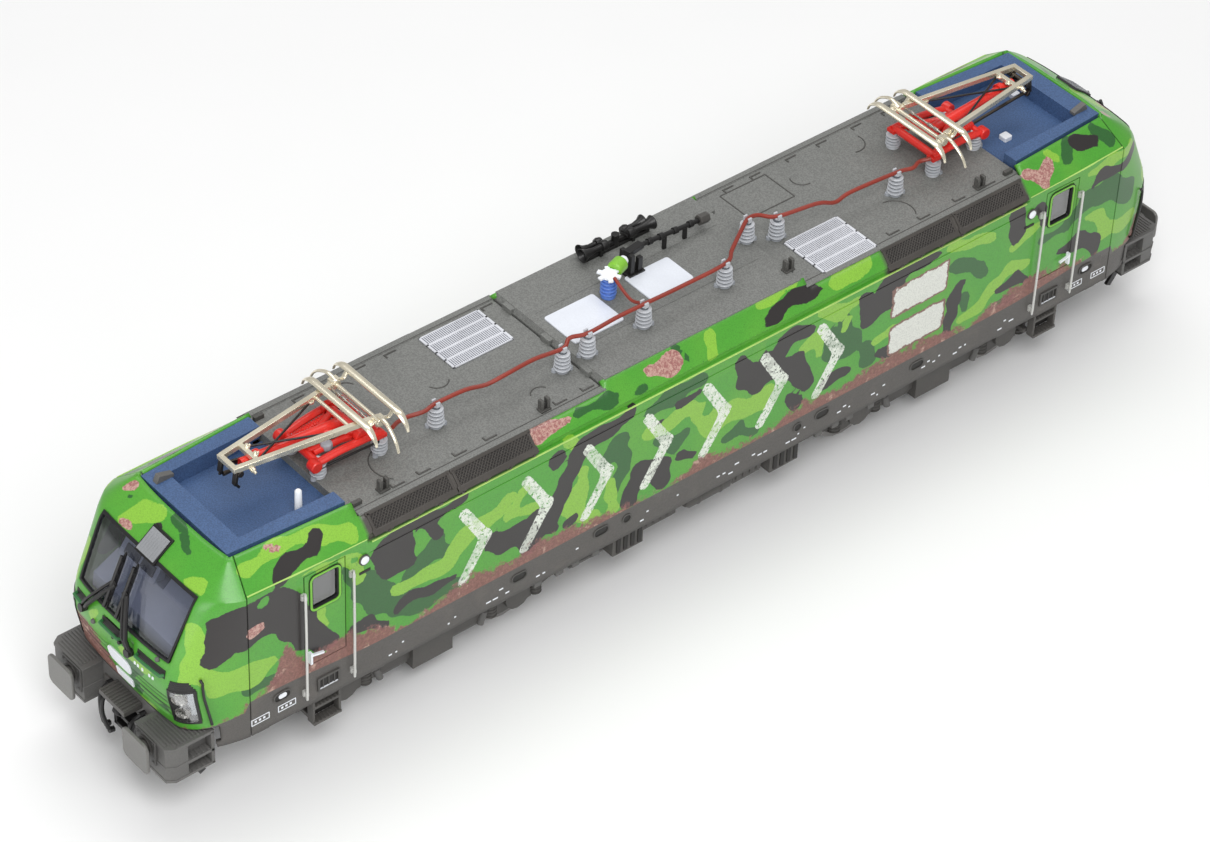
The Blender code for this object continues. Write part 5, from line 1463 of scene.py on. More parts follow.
def post_insulators():
    """Ribbed insulators on two-lug feet with a clamp on top, one under each busbar support."""
    bodies = Piece("post_insulators", ROOT, "busbar_red", "porcelain", "porcelain_dark", "porcelain_core")
    for x, y in BUSBAR_POSTS:
        z = deck_z(x)
        bodies.paint = 1
        bodies.lathe(drum(0.35, 1.15, 1.1), (x, y, z - 0.05), UP, 20)
        for side in SIDES:
            bodies.lathe(drum(0.55, 0.5, 0.42), (x + side * 1.25, y - side * 0.5, z - 0.05), UP, 12)
            bodies.bar((x, y, z + 0.15), (x + side * 1.3, y - side * 0.5, z + 0.15), 0.8, 0.3)
        bodies.paint = 0
        for i in range(5):
            h = 0.5 + 0.7 * i
            r = 1.44 - 0.05 * i
            disc = [(h, 0), (h, r - 0.14), (h + 0.1, r), (h + 0.24, r - 0.04), (h + 0.34, r - 0.5),
                    (h + 0.34, 0)]
            bodies.lathe(disc, (x, y, z), UP, 28)
        bodies.paint = 2
        bodies.rod((x, y, z + 0.2), (x, y, z + 4.0), 0.7, 20)
        bodies.paint = 0
        bodies.lathe([(3.9, 0), (3.9, 0.6), (4.35, 0.55), (4.35, 0)], (x, y, z), UP, 16)
        for side in SIDES:
            bodies.solid_box((x, y + side * 0.55, z + 4.45), (0.75, 0.32, 0.9))
        bodies.solid_box((x, y, z + 4.2), (0.8, 1.2, 0.35))
    bodies.done(bevel=0.04)
    line = Piece("busbar_line", ROOT, "busbar_red", "busbar")
    heights = [(x, y, deck_z(x) + 4.42) for x, y in BUSBAR_POSTS]
    path = [(-56.6, -5.9, 47.7), (-55.0, -5.2, 47.5), (-52.8, -4.9, 47.2), (-50.2, -5.6, 47.4), heights[0]]
    path += [(-42.0, -5.4, 47.4), (-38.5, -6.2, 47.2), (-35.0, -6.6, 47.7), (-29.0, -6.3, 47.6), heights[1]]
    path += [(-21.6, -6.0, 48.0), heights[2], (-13.0, -7.3, 48.8), heights[3], (1.0, -7.5, 48.75), heights[4]]
    path += [(13.0, -5.2, 48.7), (17.4, -2.4, 48.8), heights[5], (22.8, -0.4, 48.2), heights[6]]
    path += [(33.0, -3.6, 47.8), (36.2, -4.6, 47.2), (40.0, -4.3, 47.4), heights[7]]
    path += [(52.6, -5.8, 47.5), (54.8, -5.0, 47.3), (56.6, -5.9, 47.7)]
    line.tube(curve_through(path, 5), 0.36, 10)
    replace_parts(line.done(bevel=0), "roof_busbar")


def breaker():
    """Blue ribbed insulator with a switch drum, its support, and the long contact arm."""
    piece = Piece("breaker", ROOT, "steel", "sky", "white", "leaf", "black", "busbar", "frame")
    profile = [(0, 0), (0, 1.25), (0.4, 1.2)]
    for i in range(5):
        h = 0.6 + 0.75 * i
        profile += [(h, 0.95), (h + 0.15, 1.38), (h + 0.35, 1.38), (h + 0.5, 0.95)]
    profile += [(4.4, 0.9), (4.4, 0)]
    piece.lathe(profile, (-7.0, 1.9, 44.3), UP, 24)
    for i in range(6):
        angle = math.pi / 3 * i
        piece.paint = 1
        piece.bar((-7.0, 1.9, 48.7), (-7.0 + 2.0 * math.cos(angle), 1.9 + 2.0 * math.sin(angle), 48.7),
                  0.8, 0.4)
    piece.lathe(drum(0.5, 1.4, 1.3), (-7.0, 1.9, 48.5), UP, 20)
    piece.paint = 2
    piece.lathe([(0, 0), (0, 1.1), (0.3, 1.35), (2.2, 1.35), (2.5, 1.1), (2.5, 0)], (-5.6, 2.4, 48.6),
                (0.94, 0.33, 0), 20)
    piece.paint = 1
    piece.lathe(drum(0.9, 0.9, 0.8), (-3.3, 3.2, 48.6), (0.94, 0.33, 0), 16)
    piece.paint = 3
    for y in (3.2, 5.4):
        piece.box((-1.2, y, 44.2), (-0.4, y + 0.8, 48.6))
        piece.box((0.4, y, 44.2), (1.3, y + 0.8, 47.6))
    piece.box((-1.6, 2.9, 44.2), (1.7, 6.5, 44.9))
    piece.bar((-1.0, 4.7, 48.3), (3.0, 5.8, 47.7), 1.4, 0.9)
    piece.rod((2.0, 5.6, 47.8), (16.2, 6.1, 46.4), 0.42, 12)
    for t in (0.16, 0.34, 0.56, 0.8):
        a = Vector((2.0, 5.6, 47.8)).lerp(Vector((16.2, 6.1, 46.4)), t)
        piece.rod(a, a + Vector((0.9, 0.03, -0.09)), 0.62, 12)
    for x in (8.2, 12.6):
        piece.bar((x, 5.9, 44.2), (x, 5.9, 47.0 - 0.09 * x + 0.6), 0.7, 0.5, up=ASIDE)
    piece.paint = 5
    piece.rod((15.6, 6.08, 46.5), (17.6, 6.14, 46.3), 0.95, 6)
    piece.paint = 4
    wire = [(-7.0, -7.2, 48.6), (-7.4, -4.6, 47.6), (-7.2, -2.0, 47.9), (-7.0, 0.6, 48.9)]
    piece.tube(curve_through(wire, 6), 0.3, 8)
    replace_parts(piece.done(bevel=0.06), "main_breaker")


def horns():
    piece = Piece("horns", ROOT, "black_plastic", "black", "nickel")
    piece.box((-4.4, 10.7, 44.25), (9.2, 11.9, 44.9))
    for x, way in ((-1.4, -1), (5.4, 1)):
        for y, z, reach in ((10.5, 46.3, 4.0), (12.0, 45.9, 3.2)):
            bell = [(0, 0), (0, 0.55), (reach * 0.4, 0.5), (reach * 0.75, 0.75), (reach, 1.25),
                    (reach + 0.15, 1.2)]
            bell += [(reach * 0.8, 0.62), (reach * 0.6, 0)]
            piece.paint = 0
            piece.lathe(bell, (x, y, z), (way, 0, 0), 20)
            piece.lathe([(0, 0), (0, 0.8), (0.7, 0.95), (1.2, 0.8), (1.2, 0)], (x - way * 1.2, y, z),
                        (way, 0, 0), 16)
            piece.bar((x, y, 44.4), (x, y, z), 0.6, 0.6, up=ASIDE)
        piece.bar((x - way * 1.0, 10.4, 45.8), (x - way * 1.0, 12.3, 45.6), 0.8, 0.6)
    piece.bar((-0.8, 11.3, 45.3), (5.2, 11.3, 45.3), 0.7, 0.7)
    piece.rod((2.2, 11.3, 44.3), (2.2, 11.3, 46.8), 0.7, 12)
    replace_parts(piece.done(bevel=0.06), "air_horns")


def deck_edges():
    """Grey edge strips over the top of the body sides, and the upright ends of the deck at the roof trays."""
    piece = Piece("deck_edges", ROOT, "roof_grey", "roof", "roof_dark")
    for side in SIDES:
        for x0, x1 in ((-69.7, -DECK_STEP_X), (DECK_STEP_X, 69.7)):
            piece.side_box(side, (x0, x1), (13.5, 14.82), (42.9, 43.22))
        piece.paint = 1
        for x0, x1 in ((-69.7, -DECK_STEP_X), (DECK_STEP_X, 69.7)):
            piece.side_box(side, (x0, x1), (13.6, 13.75), (43.2, 43.3))
        piece.paint = 0
    for side in SIDES:
        for near, z0, z1 in ((67.8, 42.3, 43.11), (69.5, 40.8, 42.4)):
            low, high = outward(side, near, 70.2)
            piece.box((low, -13.6, z0), (high, 13.6, z1))
    piece.done(bevel=0.08)


def tray_floors():
    """The rear strip of the blue roof trays, up to the wall under the deck."""
    piece = Piece("tray_floors", ROOT, "roof_blue", "blue")
    for side in SIDES:
        low, high = outward(side, 70.0, 73.0)
        piece.box((low, -9.6, 40.9), (high, 9.6, 41.46))
    piece.done(bevel=0.02)


EARTHING_POSTS = ((-63.3, -12.3), (-32.0, -12.6), (20.6, -10.7), (62.2, -12.4))


def small_posts():
    """Forked earthing posts and the stubs on the cab roofs."""
    piece = Piece("earthing_posts", ROOT, "roof_grey", "roof_dark", "vent_dark")
    for x, y in EARTHING_POSTS:
        z = deck_z(x)
        piece.paint = 0
        piece.box((x - 1.0, y - 0.7, z - 0.05), (x + 1.0, y + 0.7, z + 0.35))
        for dx in (-0.62, 0.62):
            piece.box((x + dx - 0.28, y - 0.5, z), (x + dx + 0.28, y + 0.5, z + 2.2))
        piece.paint = 1
        piece.box((x - 0.35, y - 0.3, z), (x + 0.35, y + 0.3, z + 1.5))
    piece.done(bevel=0.08)
    stubs = Piece("cab_roof_stubs", ROOT, "roof_blue", "white", "beam")
    stubs.lathe([(0, 0), (0, 0.62), (4.6, 0.56), (4.9, 0.35), (4.9, 0)], (-75.7, -7.5, 41.5), UP, 14)
    stubs.solid_box((-75.7, -7.5, 41.6), (1.8, 1.5, 0.4))
    stubs.lathe([(0, 0), (0, 0.85), (0.8, 0.8), (0.8, 0.62), (1.4, 0.6), (1.5, 0)], (-88.9, -7.3, 42.6),
                UP, 16)
    stubs.solid_box((-88.9, -7.3, 42.7), (1.9, 1.4, 0.4))
    for x, y in ((76.8, -3.8), (86.6, 4.4)):
        stubs.prism(rounded(1.7, 1.7, 0.25, centre=(x, y)), 41.4, 42.3)
    stubs.paint = 1
    for sign in (-1, 1):
        outline = [(sign * x, z) for x, z in ((90.9, 44.6), (87.6, 44.6), (87.6, 45.2), (90.3, 46.0))]
        stubs.prism(outline, *outward(-sign, 8.0, 9.1), "XZ")
    stubs.done(bevel=0.1)


M["cover"] = painted("cover_plate_white", (232, 236, 244), 0.22, 0.1, tint=0.04, grain=0.004, coat=0.3)
slope_vents()
deck_edges()
tray_floors()
gutters()
grille("roof_grille_1", (-37.2, 3.6), (-25.0, 12.8))
grille("roof_grille_2", (25.6, -14.0), (37.5, -4.0))
roof_plates()
post_insulators()
breaker()
horns()
small_posts()


# ---------------------------------------------------------------- pantographs

PIVOT = (61.5, 47.5)
ELBOW = (82.5, 49.5)
HEAD = (59.1, 50.2)
ROD_PIVOT = (65.3, 45.6)
ROD_END = (83.5, 47.3)
STRIP_X = (56.3, 62.3)


def small_insulator(piece, x, y, low, high):
    profile = [(0, 0), (0, 1.15), (0.35, 1.1), (0.4, 0.7)]
    count = 4
    for i in range(count):
        h = 0.5 + (high - low - 0.9) * i / count
        profile += [(h, 0.62), (h + 0.05, 1.24), (h + 0.14, 1.34), (h + 0.24, 1.28), (h + 0.32, 0.64)]
    profile += [(high - low, 0.7), (high - low, 0)]
    piece.lathe(profile, (x, y, low), UP, 24)


def pantograph_base(n, turn):
    feet = Piece(f"pantograph_feet_{n}", ROOT, "busbar_red", "porcelain", "porcelain_dark", place=turn)
    corners = ((58.4, 4.9), (58.4, -4.9), (69.1, 3.6), (69.1, -3.6))
    for x, y in corners:
        feet.paint = 0
        small_insulator(feet, x, y, 43.1, 46.4)
        feet.paint = 1
        feet.lathe(drum(0.5, 0.5, 0.42), (x + 1.2, y * 1.12, 43.05), UP, 12)
    feet.done(bevel=0)
    base = Piece(f"pantograph_frame_{n}", ROOT, "red_paint", "red", "porcelain_dark", "black", place=turn)
    for side in SIDES:
        rail = [(57.9, side * 4.9, 46.9), (61.5, side * 4.8, 47.0), (66.0, side * 4.5, 46.8),
                (70.0, side * 4.2, 46.2)]
        base.tube(curve_through(rail, 4), 0.72, 12, flat=0.8)
        base.lathe([(0, 0), (0, 0.95), (0.2, 1.05), (1.5, 1.05), (1.7, 0.9), (1.7, 0)],
                   (70.3, side * 3.5, 46.1), (0, side, 0), 18)
        base.solid_box((58.4, side * 4.9, 46.6), (1.9, 1.7, 0.7))
        base.bar((58.4, side * 4.9, 46.9), (61.5, side * 3.2, 47.3), 0.9, 0.8)
        base.bar((61.5, side * 3.2, 46.9), (69.4, side * 1.4, 46.6), 0.8, 0.7)
        base.lathe(drum(1.0, 1.1), (61.5, side * 3.7, 47.5), (0, side, 0), 18)
        base.solid_box((61.5, side * 4.2, 46.6), (1.8, 1.0, 1.4))
    base.tube([(58.4, -4.7, 46.9), (58.4, 4.7, 46.9)], 0.7, 12)
    base.tube([(69.6, -4.4, 46.2), (69.6, 4.4, 46.2)], 0.65, 12)
    spring = [(0, 0), (0, 0.5)]
    for i in range(13):
        spring += [(0.3 + 0.5 * i, 0.58), (0.52 + 0.5 * i, 0.86), (0.68 + 0.5 * i, 0.58)]
    spring += [(7.2, 0.5), (7.2, 0)]
    base.lathe(spring, (62.6, -2.6, 47.2), (1, 0.06, -0.05), 16)
    base.lathe(drum(6.4, 0.6, 0.5), (62.6, 2.6, 46.9), (1, -0.04, -0.05), 12)
    base.paint = 1
    for x, y in ((68.8, -1.2), (66.6, 2.4)):
        base.lathe([(0, 0), (0, 0.9), (0.3, 1.05), (1.0, 1.0), (1.2, 0.7), (1.2, 0)], (x, y, 46.4), UP, 8)
    base.paint = 2
    base.tube([(58.9, 5.6, 45.9), (64.0, 5.2, 45.7), (69.4, 4.6, 45.3)], 0.22, 6)
    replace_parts(base.done(bevel=0.08), f"pantograph_base_{n}")


def lower_arm(n, turn):
    piece = Piece(f"lower_arm_{n}", f"pantograph_{n}_lower_arm", "red_paint", "red", "dark_steel",
                  "porcelain_dark", place=turn)
    (px, pz), (ex, ez) = PIVOT, ELBOW
    tube = [(px + (ex - px) * t, 0.0, pz + (ez - pz) * t) for t in spread(0.0, 0.93, 8)]
    piece.tube(tube, [1.05 - 0.035 * i for i in range(9)], 16)
    piece.tube([(px, -3.5, pz), (px, -1.0, pz), (px, 1.0, pz), (px, 3.5, pz)], [0.75, 0.95, 0.95, 0.75], 16)
    for side in SIDES:
        piece.tube([(px + 0.2, side * 2.9, pz), (px + 4.6, side * 0.5, pz + 0.4)], [0.6, 0.5], 10)
    piece.lathe(drum(1.0, 1.25, 1.15), (77.6, 0, 49.03), (1, 0, 0.095), 16)
    piece.paint = 1
    piece.tube([(ex, -1.35, ez), (ex, 1.35, ez)], 0.5, 14)
    for side in SIDES:
        piece.bar((79.6, side * 0.55, 49.2), (ex, side * 0.85, ez), 0.4, 0.9)
    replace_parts(piece.done(bevel=0.05), f"pantograph_lower_arm_{n}")


def thrust_rod(n, turn):
    piece = Piece(f"thrust_rod_{n}", f"pantograph_{n}_rod", "panto_metal", "dark_steel", place=turn)
    a, b = Vector((ROD_PIVOT[0], -1.5, ROD_PIVOT[1])), Vector((ROD_END[0] - 0.4, -1.5, ROD_END[1]))
    piece.tube([a, a.lerp(b, 0.08), a.lerp(b, 0.92), b], [0.45, 0.3, 0.3, 0.42], 10)
    piece.tube([a - Vector((0, 0.5, 0)), a + Vector((0, 0.5, 0))], 0.6, 12)
    piece.tube([a.lerp(b, 0.14), a.lerp(b, 0.2)], 0.45, 8)
    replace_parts(piece.done(bevel=0.03), f"pantograph_rod_{n}")


def upper_arm(n, turn):
    piece = Piece(f"upper_arm_{n}", f"pantograph_{n}_upper_arm", "panto_metal", "champagne", "black",
                  "dark_steel", place=turn)
    near, far = Vector((83.2, 1.9, 50.5)), Vector((60.2, 5.1, 50.55))
    flip = Vector((1, -1, 1))
    for side in (Vector((1, 1, 1)), flip):
        a, b = near * side, far * side
        piece.bar(a, b, 0.85, 0.95)
        piece.lathe([(0, 0), (0, 0.45), (0.8, 0.45), (0.8, 0.25), (1.3, 0.25), (1.3, 0)],
                    Vector((80.6, 2.4, 49.9)) * side, (0, side.y, -0.3), 12)
        piece.bar(b, (HEAD[0], side.y * 5.2, HEAD[1]), 0.8, 0.8)
    for x, half in ((83.2, 2.3), (79.4, 2.4)):
        piece.bar((x, -half, 50.5), (x, half, 50.5), 0.85, 0.85)
    piece.tube([(63.6, -4.6, 50.4), (63.6, 4.6, 50.4)], 0.32, 10)
    for y in (-1.1, 1.1):
        piece.lathe([(0, 0), (0, 0.55), (0.35, 0.55), (0.35, 0.3), (0.7, 0.3), (0.7, 0)], (78.9, y, 50.6),
                    UP, 10)
        piece.bar((79.4, y, 50.6), (78.2, y, 50.9), 0.35, 0.3)
    piece.paint = 1
    for side in SIDES:
        start, end = Vector((79.2, side * 2.0, 50.2)), Vector((64.6, -side * 4.3, 50.1))
        piece.tube([start, end], 0.21, 6)
        piece.paint = 0
        piece.lathe(drum(0.45, 0.6), end - Vector((0, 0, 0.2)), UP, 10)
        piece.paint = 1
    piece.paint = 2
    for side in SIDES:
        piece.bar((ELBOW[0] + 0.5, side * 1.9, 50.2), (ELBOW[0] + 0.9, side * 1.9, 47.6), 0.5, 0.95, up=ASIDE)
        piece.bar((ELBOW[0] + 0.9, side * 1.9, 47.9), (ELBOW[0] + 0.2, side * 1.9, 46.9), 0.45, 0.8, up=ASIDE)
        piece.tube([(ELBOW[0], side * 1.5, ELBOW[1]), (ELBOW[0], side * 2.5, ELBOW[1])], 0.55, 12)
    piece.tube([(ELBOW[0] + 0.7, -2.2, 47.1), (ELBOW[0] + 0.7, -1.95, 47.1)], 0.35, 10)
    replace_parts(piece.done(bevel=0.07), f"pantograph_upper_arm_{n}")


def contact_head(n, turn):
    piece = Piece(f"contact_head_{n}", f"pantograph_{n}_head", "panto_metal", "champagne", "nickel",
                  place=turn)
    hx, hz = HEAD
    piece.tube([(hx, -5.9, hz), (hx, 5.9, hz)], 0.38, 12)
    for x in STRIP_X:
        side_path = [(x, 6.3, 51.5), (x, 7.4, 51.35), (x, 8.5, 50.7), (x, 9.2, 49.9), (x, 9.5, 49.1)]
        bend = curve_through(side_path, 4)
        path = [Vector((p.x, -p.y, p.z)) for p in reversed(bend)]
        path += [Vector((x, y, 51.5)) for y in (-3, 0, 3)] + bend
        count = len(bend)
        taper = [0.28 + 0.4 * eased((count - 1 - i) / count * 1.2) for i in range(count)]
        radii = list(reversed(taper)) + [0.68, 0.68, 0.68] + taper
        piece.tube(path, radii, 10, flat=0.5)
    for side in SIDES:
        piece.lathe([(0, 0), (0, 0.8), (0.35, 0.95), (1.2, 0.95), (1.5, 0.7), (1.5, 0)],
                    (hx, side * 4.9, hz), (0, side, 0), 18)
        piece.solid_box((hx, side * 5.7, hz + 0.5), (1.6, 1.2, 0.7))
        for x in STRIP_X:
            way = 1 if x > hx else -1
            path = [(hx + way * 0.6, side * 5.7, 50.7), (hx + way * 1.5, side * 5.7, 50.2),
                    (x - way * 0.8, side * 5.8, 50.3)]
            path += [(x, side * 5.8, 51.3)]
            piece.tube(curve_through(path, 5), 0.42, 8, flat=0.5)
        horn = [(hx, side * 5.4, 50.9), (hx + 0.1, side * 7.2, 51.3), (hx + 0.2, side * 9.2, 50.4)]
        horn += [(hx + 0.3, side * 10.5, 49.2), (hx + 0.4, side * 11.3, 47.7)]
        path = curve_through(horn, 5)
        piece.tube(path, [0.42 - 0.008 * i for i in range(len(path))], 10, flat=0.7)
    piece.paint = 1
    piece.tube([(hx + 1.2, -4.6, hz + 0.1), (hx + 1.2, 4.6, hz + 0.1)], 0.2, 8)
    for y in (-3.4, -2.0, 2.4):
        piece.tube([(hx + 1.2, y, hz + 0.1), (hx + 1.2, y + 1.0, hz + 0.1)], 0.36, 8)
    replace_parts(piece.done(bevel=0.05), f"pantograph_head_{n}")


for n, turn in ENDS:
    pantograph_base(n, turn)
    lower_arm(n, turn)
    thrust_rod(n, turn)
    upper_arm(n, turn)
    contact_head(n, turn)


# ---------------------------------------------------------------- head stocks, buffers and couplers


def head_stock(n, turn):
    piece = Piece(f"head_stock_{n}", ROOT, "frame_grey", "beam", "vent_dark", "frame", place=turn)
    for side in SIDES:
        outline = [(98.2, 15.8), (105.5, 15.8), (106.8, 14.9), (106.8, 7.0), (101.6, 7.0), (98.2, 12.0)]
        outline = [(x, y * side) for x, y in outline]
        for low, high in ((15.1, 15.75), (11.3, 11.9), (8.65, 9.15)):
            piece.prism(outline, low, high)
        inner = [(98.3, 14.2), (103.0, 14.2), (103.0, 15.7), (105.4, 15.7), (106.7, 14.8), (106.7, 7.1),
                 (101.7, 7.1),
                 (98.3, 11.9)]
        piece.prism([(x, y * side) for x, y in inner], 9.0, 15.3)
        piece.side_box(side, (98.2, 98.8), (14.0, 15.8), (8.8, 15.4))
        for i in range(12):
            x = 99.4 + 0.6 * i
            inner = 8.0 if x > 101.8 else 11.6
            outer = 15.3 if x < 105 else 14.4
            piece.side_box(side, (x, x + 0.3), (inner, outer), (15.6, 15.95))
        for i in range(5):
            x = 98.9 + 0.95 * i
            for z in (11.85, 9.05):
                piece.side_box(side, (x, x + 0.4), (14.1, 15.6), (z, z + 0.22))
        piece.box((106.5, side * BUFFER_Y - 2.5, 10.6), (107.0, side * BUFFER_Y + 2.5, 15.4))
        for y in (-2.0, 2.0):
            for z in (11.2, 14.9):
                piece.lathe([(0, 0), (0, 0.32), (0.12, 0.3), (0.16, 0)], (107.0, side * BUFFER_Y + y, z),
                            ALONG, 6)
    piece.box((101.3, -7.4, 10.9), (102.9, 7.4, 15.7))
    piece.box((89.0, -11.0, 14.3), (102.0, 11.0, 15.5))
    piece.paint = 2
    piece.box((102.6, -3.4, 13.4), (106.3, 3.4, 14.4))
    for i in range(10):
        y = -3.2 + 0.68 * i
        piece.box((102.7, y, 14.35), (106.2, y + 0.34, 14.6))
    for y in (-5.6, 5.6):
        piece.box((102.8, y - 0.9, 11.6), (103.3, y + 0.9, 13.4))
    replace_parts(piece.done(bevel=0.1), f"buffer_beam_{n}")
    collars = Piece(f"buffer_housings_{n}", ROOT, "frame_grey", "frame", place=turn)
    for side in SIDES:
        collars.lathe([(0, 1.32), (0, 2.0), (0.42, 2.0), (0.46, 1.8), (0.58, 1.75), (0.58, 1.32), (0, 1.32)],
                      (106.6, side * BUFFER_Y, BUFFER_Z), ALONG, 24)
    collars.done(bevel=0.05)


def buffer(number, side, turn):
    piece = Piece(f"buffer_plate_{number}", f"buffer_{number}", "steel", "buffer_face", "frame", place=turn)
    y = side * BUFFER_Y
    outline = rounded(6.7, 6.0, 1.25, 6, (y, BUFFER_Z))
    piece.prism(outline, 108.45, 109.0, "YZ")
    piece.lathe([(0, 0), (0, 1.28), (0.35, 1.28), (0.45, 0)], (108.5, y, BUFFER_Z), (-1, 0, 0), 24)
    piece.paint = 1
    piece.lathe(drum(4.2, 1.16), (108.2, y, BUFFER_Z), (-1, 0, 0), 20)
    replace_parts(piece.done(bevel=0.14), f"buffer_{number}")


def hoses(n, turn):
    piece = Piece(f"hoses_{n}", ROOT, "black_plastic", "black", "beam", place=turn)
    for y, bulge, drop in ((-4.6, 1.5, 6.2), (-3.3, 2.2, 5.6), (4.2, 1.9, 5.8), (5.4, 1.3, 6.2)):
        path = [(103.0, y, 13.0), (104.0, y, 13.1), (104.6 + bulge * 0.5, y * 0.97, 12.0)]
        path += [(104.6 + bulge * 0.7, y * 0.92, 9.4), (105.5, y * 0.86, drop + 0.6), (105.3, y * 0.8, drop)]
        piece.paint = 0
        piece.tube(curve_through(path, 5), 0.36, 8)
        piece.lathe(drum(1.0, 0.6), (103.0, y, 13.0), ALONG, 10)
        piece.lathe(drum(0.9, 0.5), (105.4, y * 0.8, drop - 0.2), (-1, 0, -0.2), 10)
    for y in (-0.35, 0.35):
        path = [(103.0, y, 12.4), (104.8, y, 12.4), (105.6, y, 11.7), (105.0, y, 11.0)]
        piece.tube(curve_through(path, 4), 0.4, 8)
    for side in SIDES:
        piece.bar((100.6, side * 13.0, 8.6), (98.6, side * 12.6, 4.6), 1.2, 0.6, up=ASIDE)
    piece.done(bevel=0.04)


def coupler(n, turn):
    piece = Piece(f"coupler_{n}", f"coupler_{n}", "black_plastic", "black", place=turn)
    for z0, z1 in ((6.95, 7.75), (9.45, 10.25)):
        piece.box((99.6, -2.25, z0), (104.6, 2.25, z1))
    for side in SIDES:
        piece.side_box(side, (99.6, 104.6), (1.55, 2.25), (7.0, 10.2))
    piece.box((99.5, -2.1, 7.1), (100.4, 2.1, 10.1))
    piece.bar((94.6, 0, 8.6), (100.0, 0, 8.6), 1.7, 1.0)
    ring(piece, rounded(3.6, 3.6, 1.79, 6, (94.0, 0)), rounded(1.7, 1.7, 0.84, 6, (94.0, 0)), 8.1, 9.1, "XY")
    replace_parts(piece.done(bevel=0.1), f"coupler_pocket_{n}")


# ---------------------------------------------------------------- bogies and underframe


def bogie(n, turn):
    body = f"bogie_{n}"
    piece = Piece(f"bogie_sides_{n}", body, "frame_grey", "frame", "vent_dark", "beam", place=turn)
    outline = [(-26.6, 7.9), (-25.2, 9.3), (-19.5, 9.2), (-13.0, 7.4), (-9.4, 5.4), (9.4, 5.4),
               (13.0, 7.4), (19.5, 9.2),
               (25.2, 9.3), (26.6, 7.9), (25.2, 6.4), (19.5, 6.0), (13.4, 5.4), (9.8, 3.9), (-9.8, 3.9),
               (-13.4, 5.4),
               (-19.5, 6.0), (-25.2, 6.4)]
    for side in SIDES:
        low, high = outward(side, 10.9, 12.3)
        piece.prism([(BOGIE_X + x, z) for x, z in outline], low, high, "XZ")
        for axle in (-1, 1):
            ax = BOGIE_X + axle * HALF_WHEELBASE
            piece.paint = 0
            piece.lathe([(0, 0), (0, 2.9), (0.5, 2.9), (0.7, 2.5), (1.3, 2.4), (1.5, 2.0), (1.6, 0)],
                        (ax, side * 12.0, AXLE_Z), (0, side, 0), 24)
            for dx in (-1.5, 1.5):
                for dz in (-1.5, 1.5):
                    piece.lathe([(0, 0), (0, 0.32), (0.25, 0.32), (0.35, 0)],
                                (ax + dx, side * 13.4, AXLE_Z + dz),
                                (0, side, 0), 6)
            piece.side_box(side, (ax - 3.6, ax + 3.6), (11.4, 12.9), (4.5, 5.6))
            for dx in (-4.6, 4.6):
                spring = [(0, 0), (0, 1.3)]
                for i in range(5):
                    spring += [(0.25 + 0.72 * i, 0.85), (0.5 + 0.72 * i, 1.22), (0.72 + 0.72 * i, 1.22)]
                spring += [(4.1, 0.85), (4.2, 1.3), (4.6, 1.3), (4.6, 0)]
                piece.lathe(spring, (ax + dx, side * 12.4, 4.9), UP, 18)
            piece.paint = 2
            damper = [(0, 0), (0, 0.62), (2.6, 0.62), (2.6, 0.42), (5.2, 0.42), (5.2, 0)]
            piece.lathe(damper, (ax - axle * 7.2, side * 13.1, 4.6), (axle * 0.35, 0, 1), 12)
            piece.paint = 1
            piece.tube(curve_through([(ax + axle * 8.4, side * 9.4, 4.0), (ax + axle * 8.7, side * 9.2, 6.4),
                                      (ax + axle * 8.0, side * 9.2, 8.6)], 4), 0.7, 8, flat=0.6)
        piece.paint = 0
        piece.prism(rounded(7.6, 5.6, 0.8, centre=(BOGIE_X, 7.0)), *outward(side, 11.7, 13.5), "XZ")
        for dx in (-2.3, 2.3):
            coil = [(0, 0), (0, 1.6)]
            for i in range(5):
                coil += [(0.3 + 0.8 * i, 1.1), (0.6 + 0.8 * i, 1.55), (0.85 + 0.8 * i, 1.55)]
            coil += [(4.5, 1.1), (4.5, 0)]
            piece.lathe(coil, (BOGIE_X + dx, side * 12.2, 5.6), UP, 18)
        piece.paint = 2
        piece.lathe([(0, 0), (0, 0.6), (7.0, 0.6), (7.0, 0.4), (12.0, 0.4), (12.0, 0)],
                    (BOGIE_X - 7.0, side * 13.5, 9.0), ALONG, 12)
    piece.paint = 0
    for x in (-26.2, 25.0):
        piece.box((BOGIE_X + x, -11.0, 6.3), (BOGIE_X + x + 1.2, 11.0, 8.6))
    piece.done(bevel=0.12)


def wheel_discs(name, sign, turn):
    """Wheel faces with a dished web, a hub and the brake rings, over the CAD wheelset."""
    piece = Piece(f"wheel_faces_{name}", f"wheelset_{name}", "steel", "frame", "steel", place=turn)
    ax = BOGIE_X + sign * HALF_WHEELBASE
    for side in SIDES:
        profile = [(0, 0), (0, 6.2), (0.2, 6.3), (0.28, 5.7), (0.1, 5.2), (0.1, 2.4), (0.3, 2.0),
                   (0.45, 0.9), (0.45, 0)]
        piece.lathe(profile, (ax, side * 9.95, AXLE_Z), (0, side, 0), 40)
        for i in range(6):
            angle = math.pi / 3 * i
            centre = (ax + 3.8 * math.cos(angle), side * 10.0, AXLE_Z + 3.8 * math.sin(angle))
            piece.lathe([(0, 0), (0, 0.34), (0.26, 0.3), (0.3, 0)], centre, (0, side, 0), 6)
    piece.done(bevel=0.03)


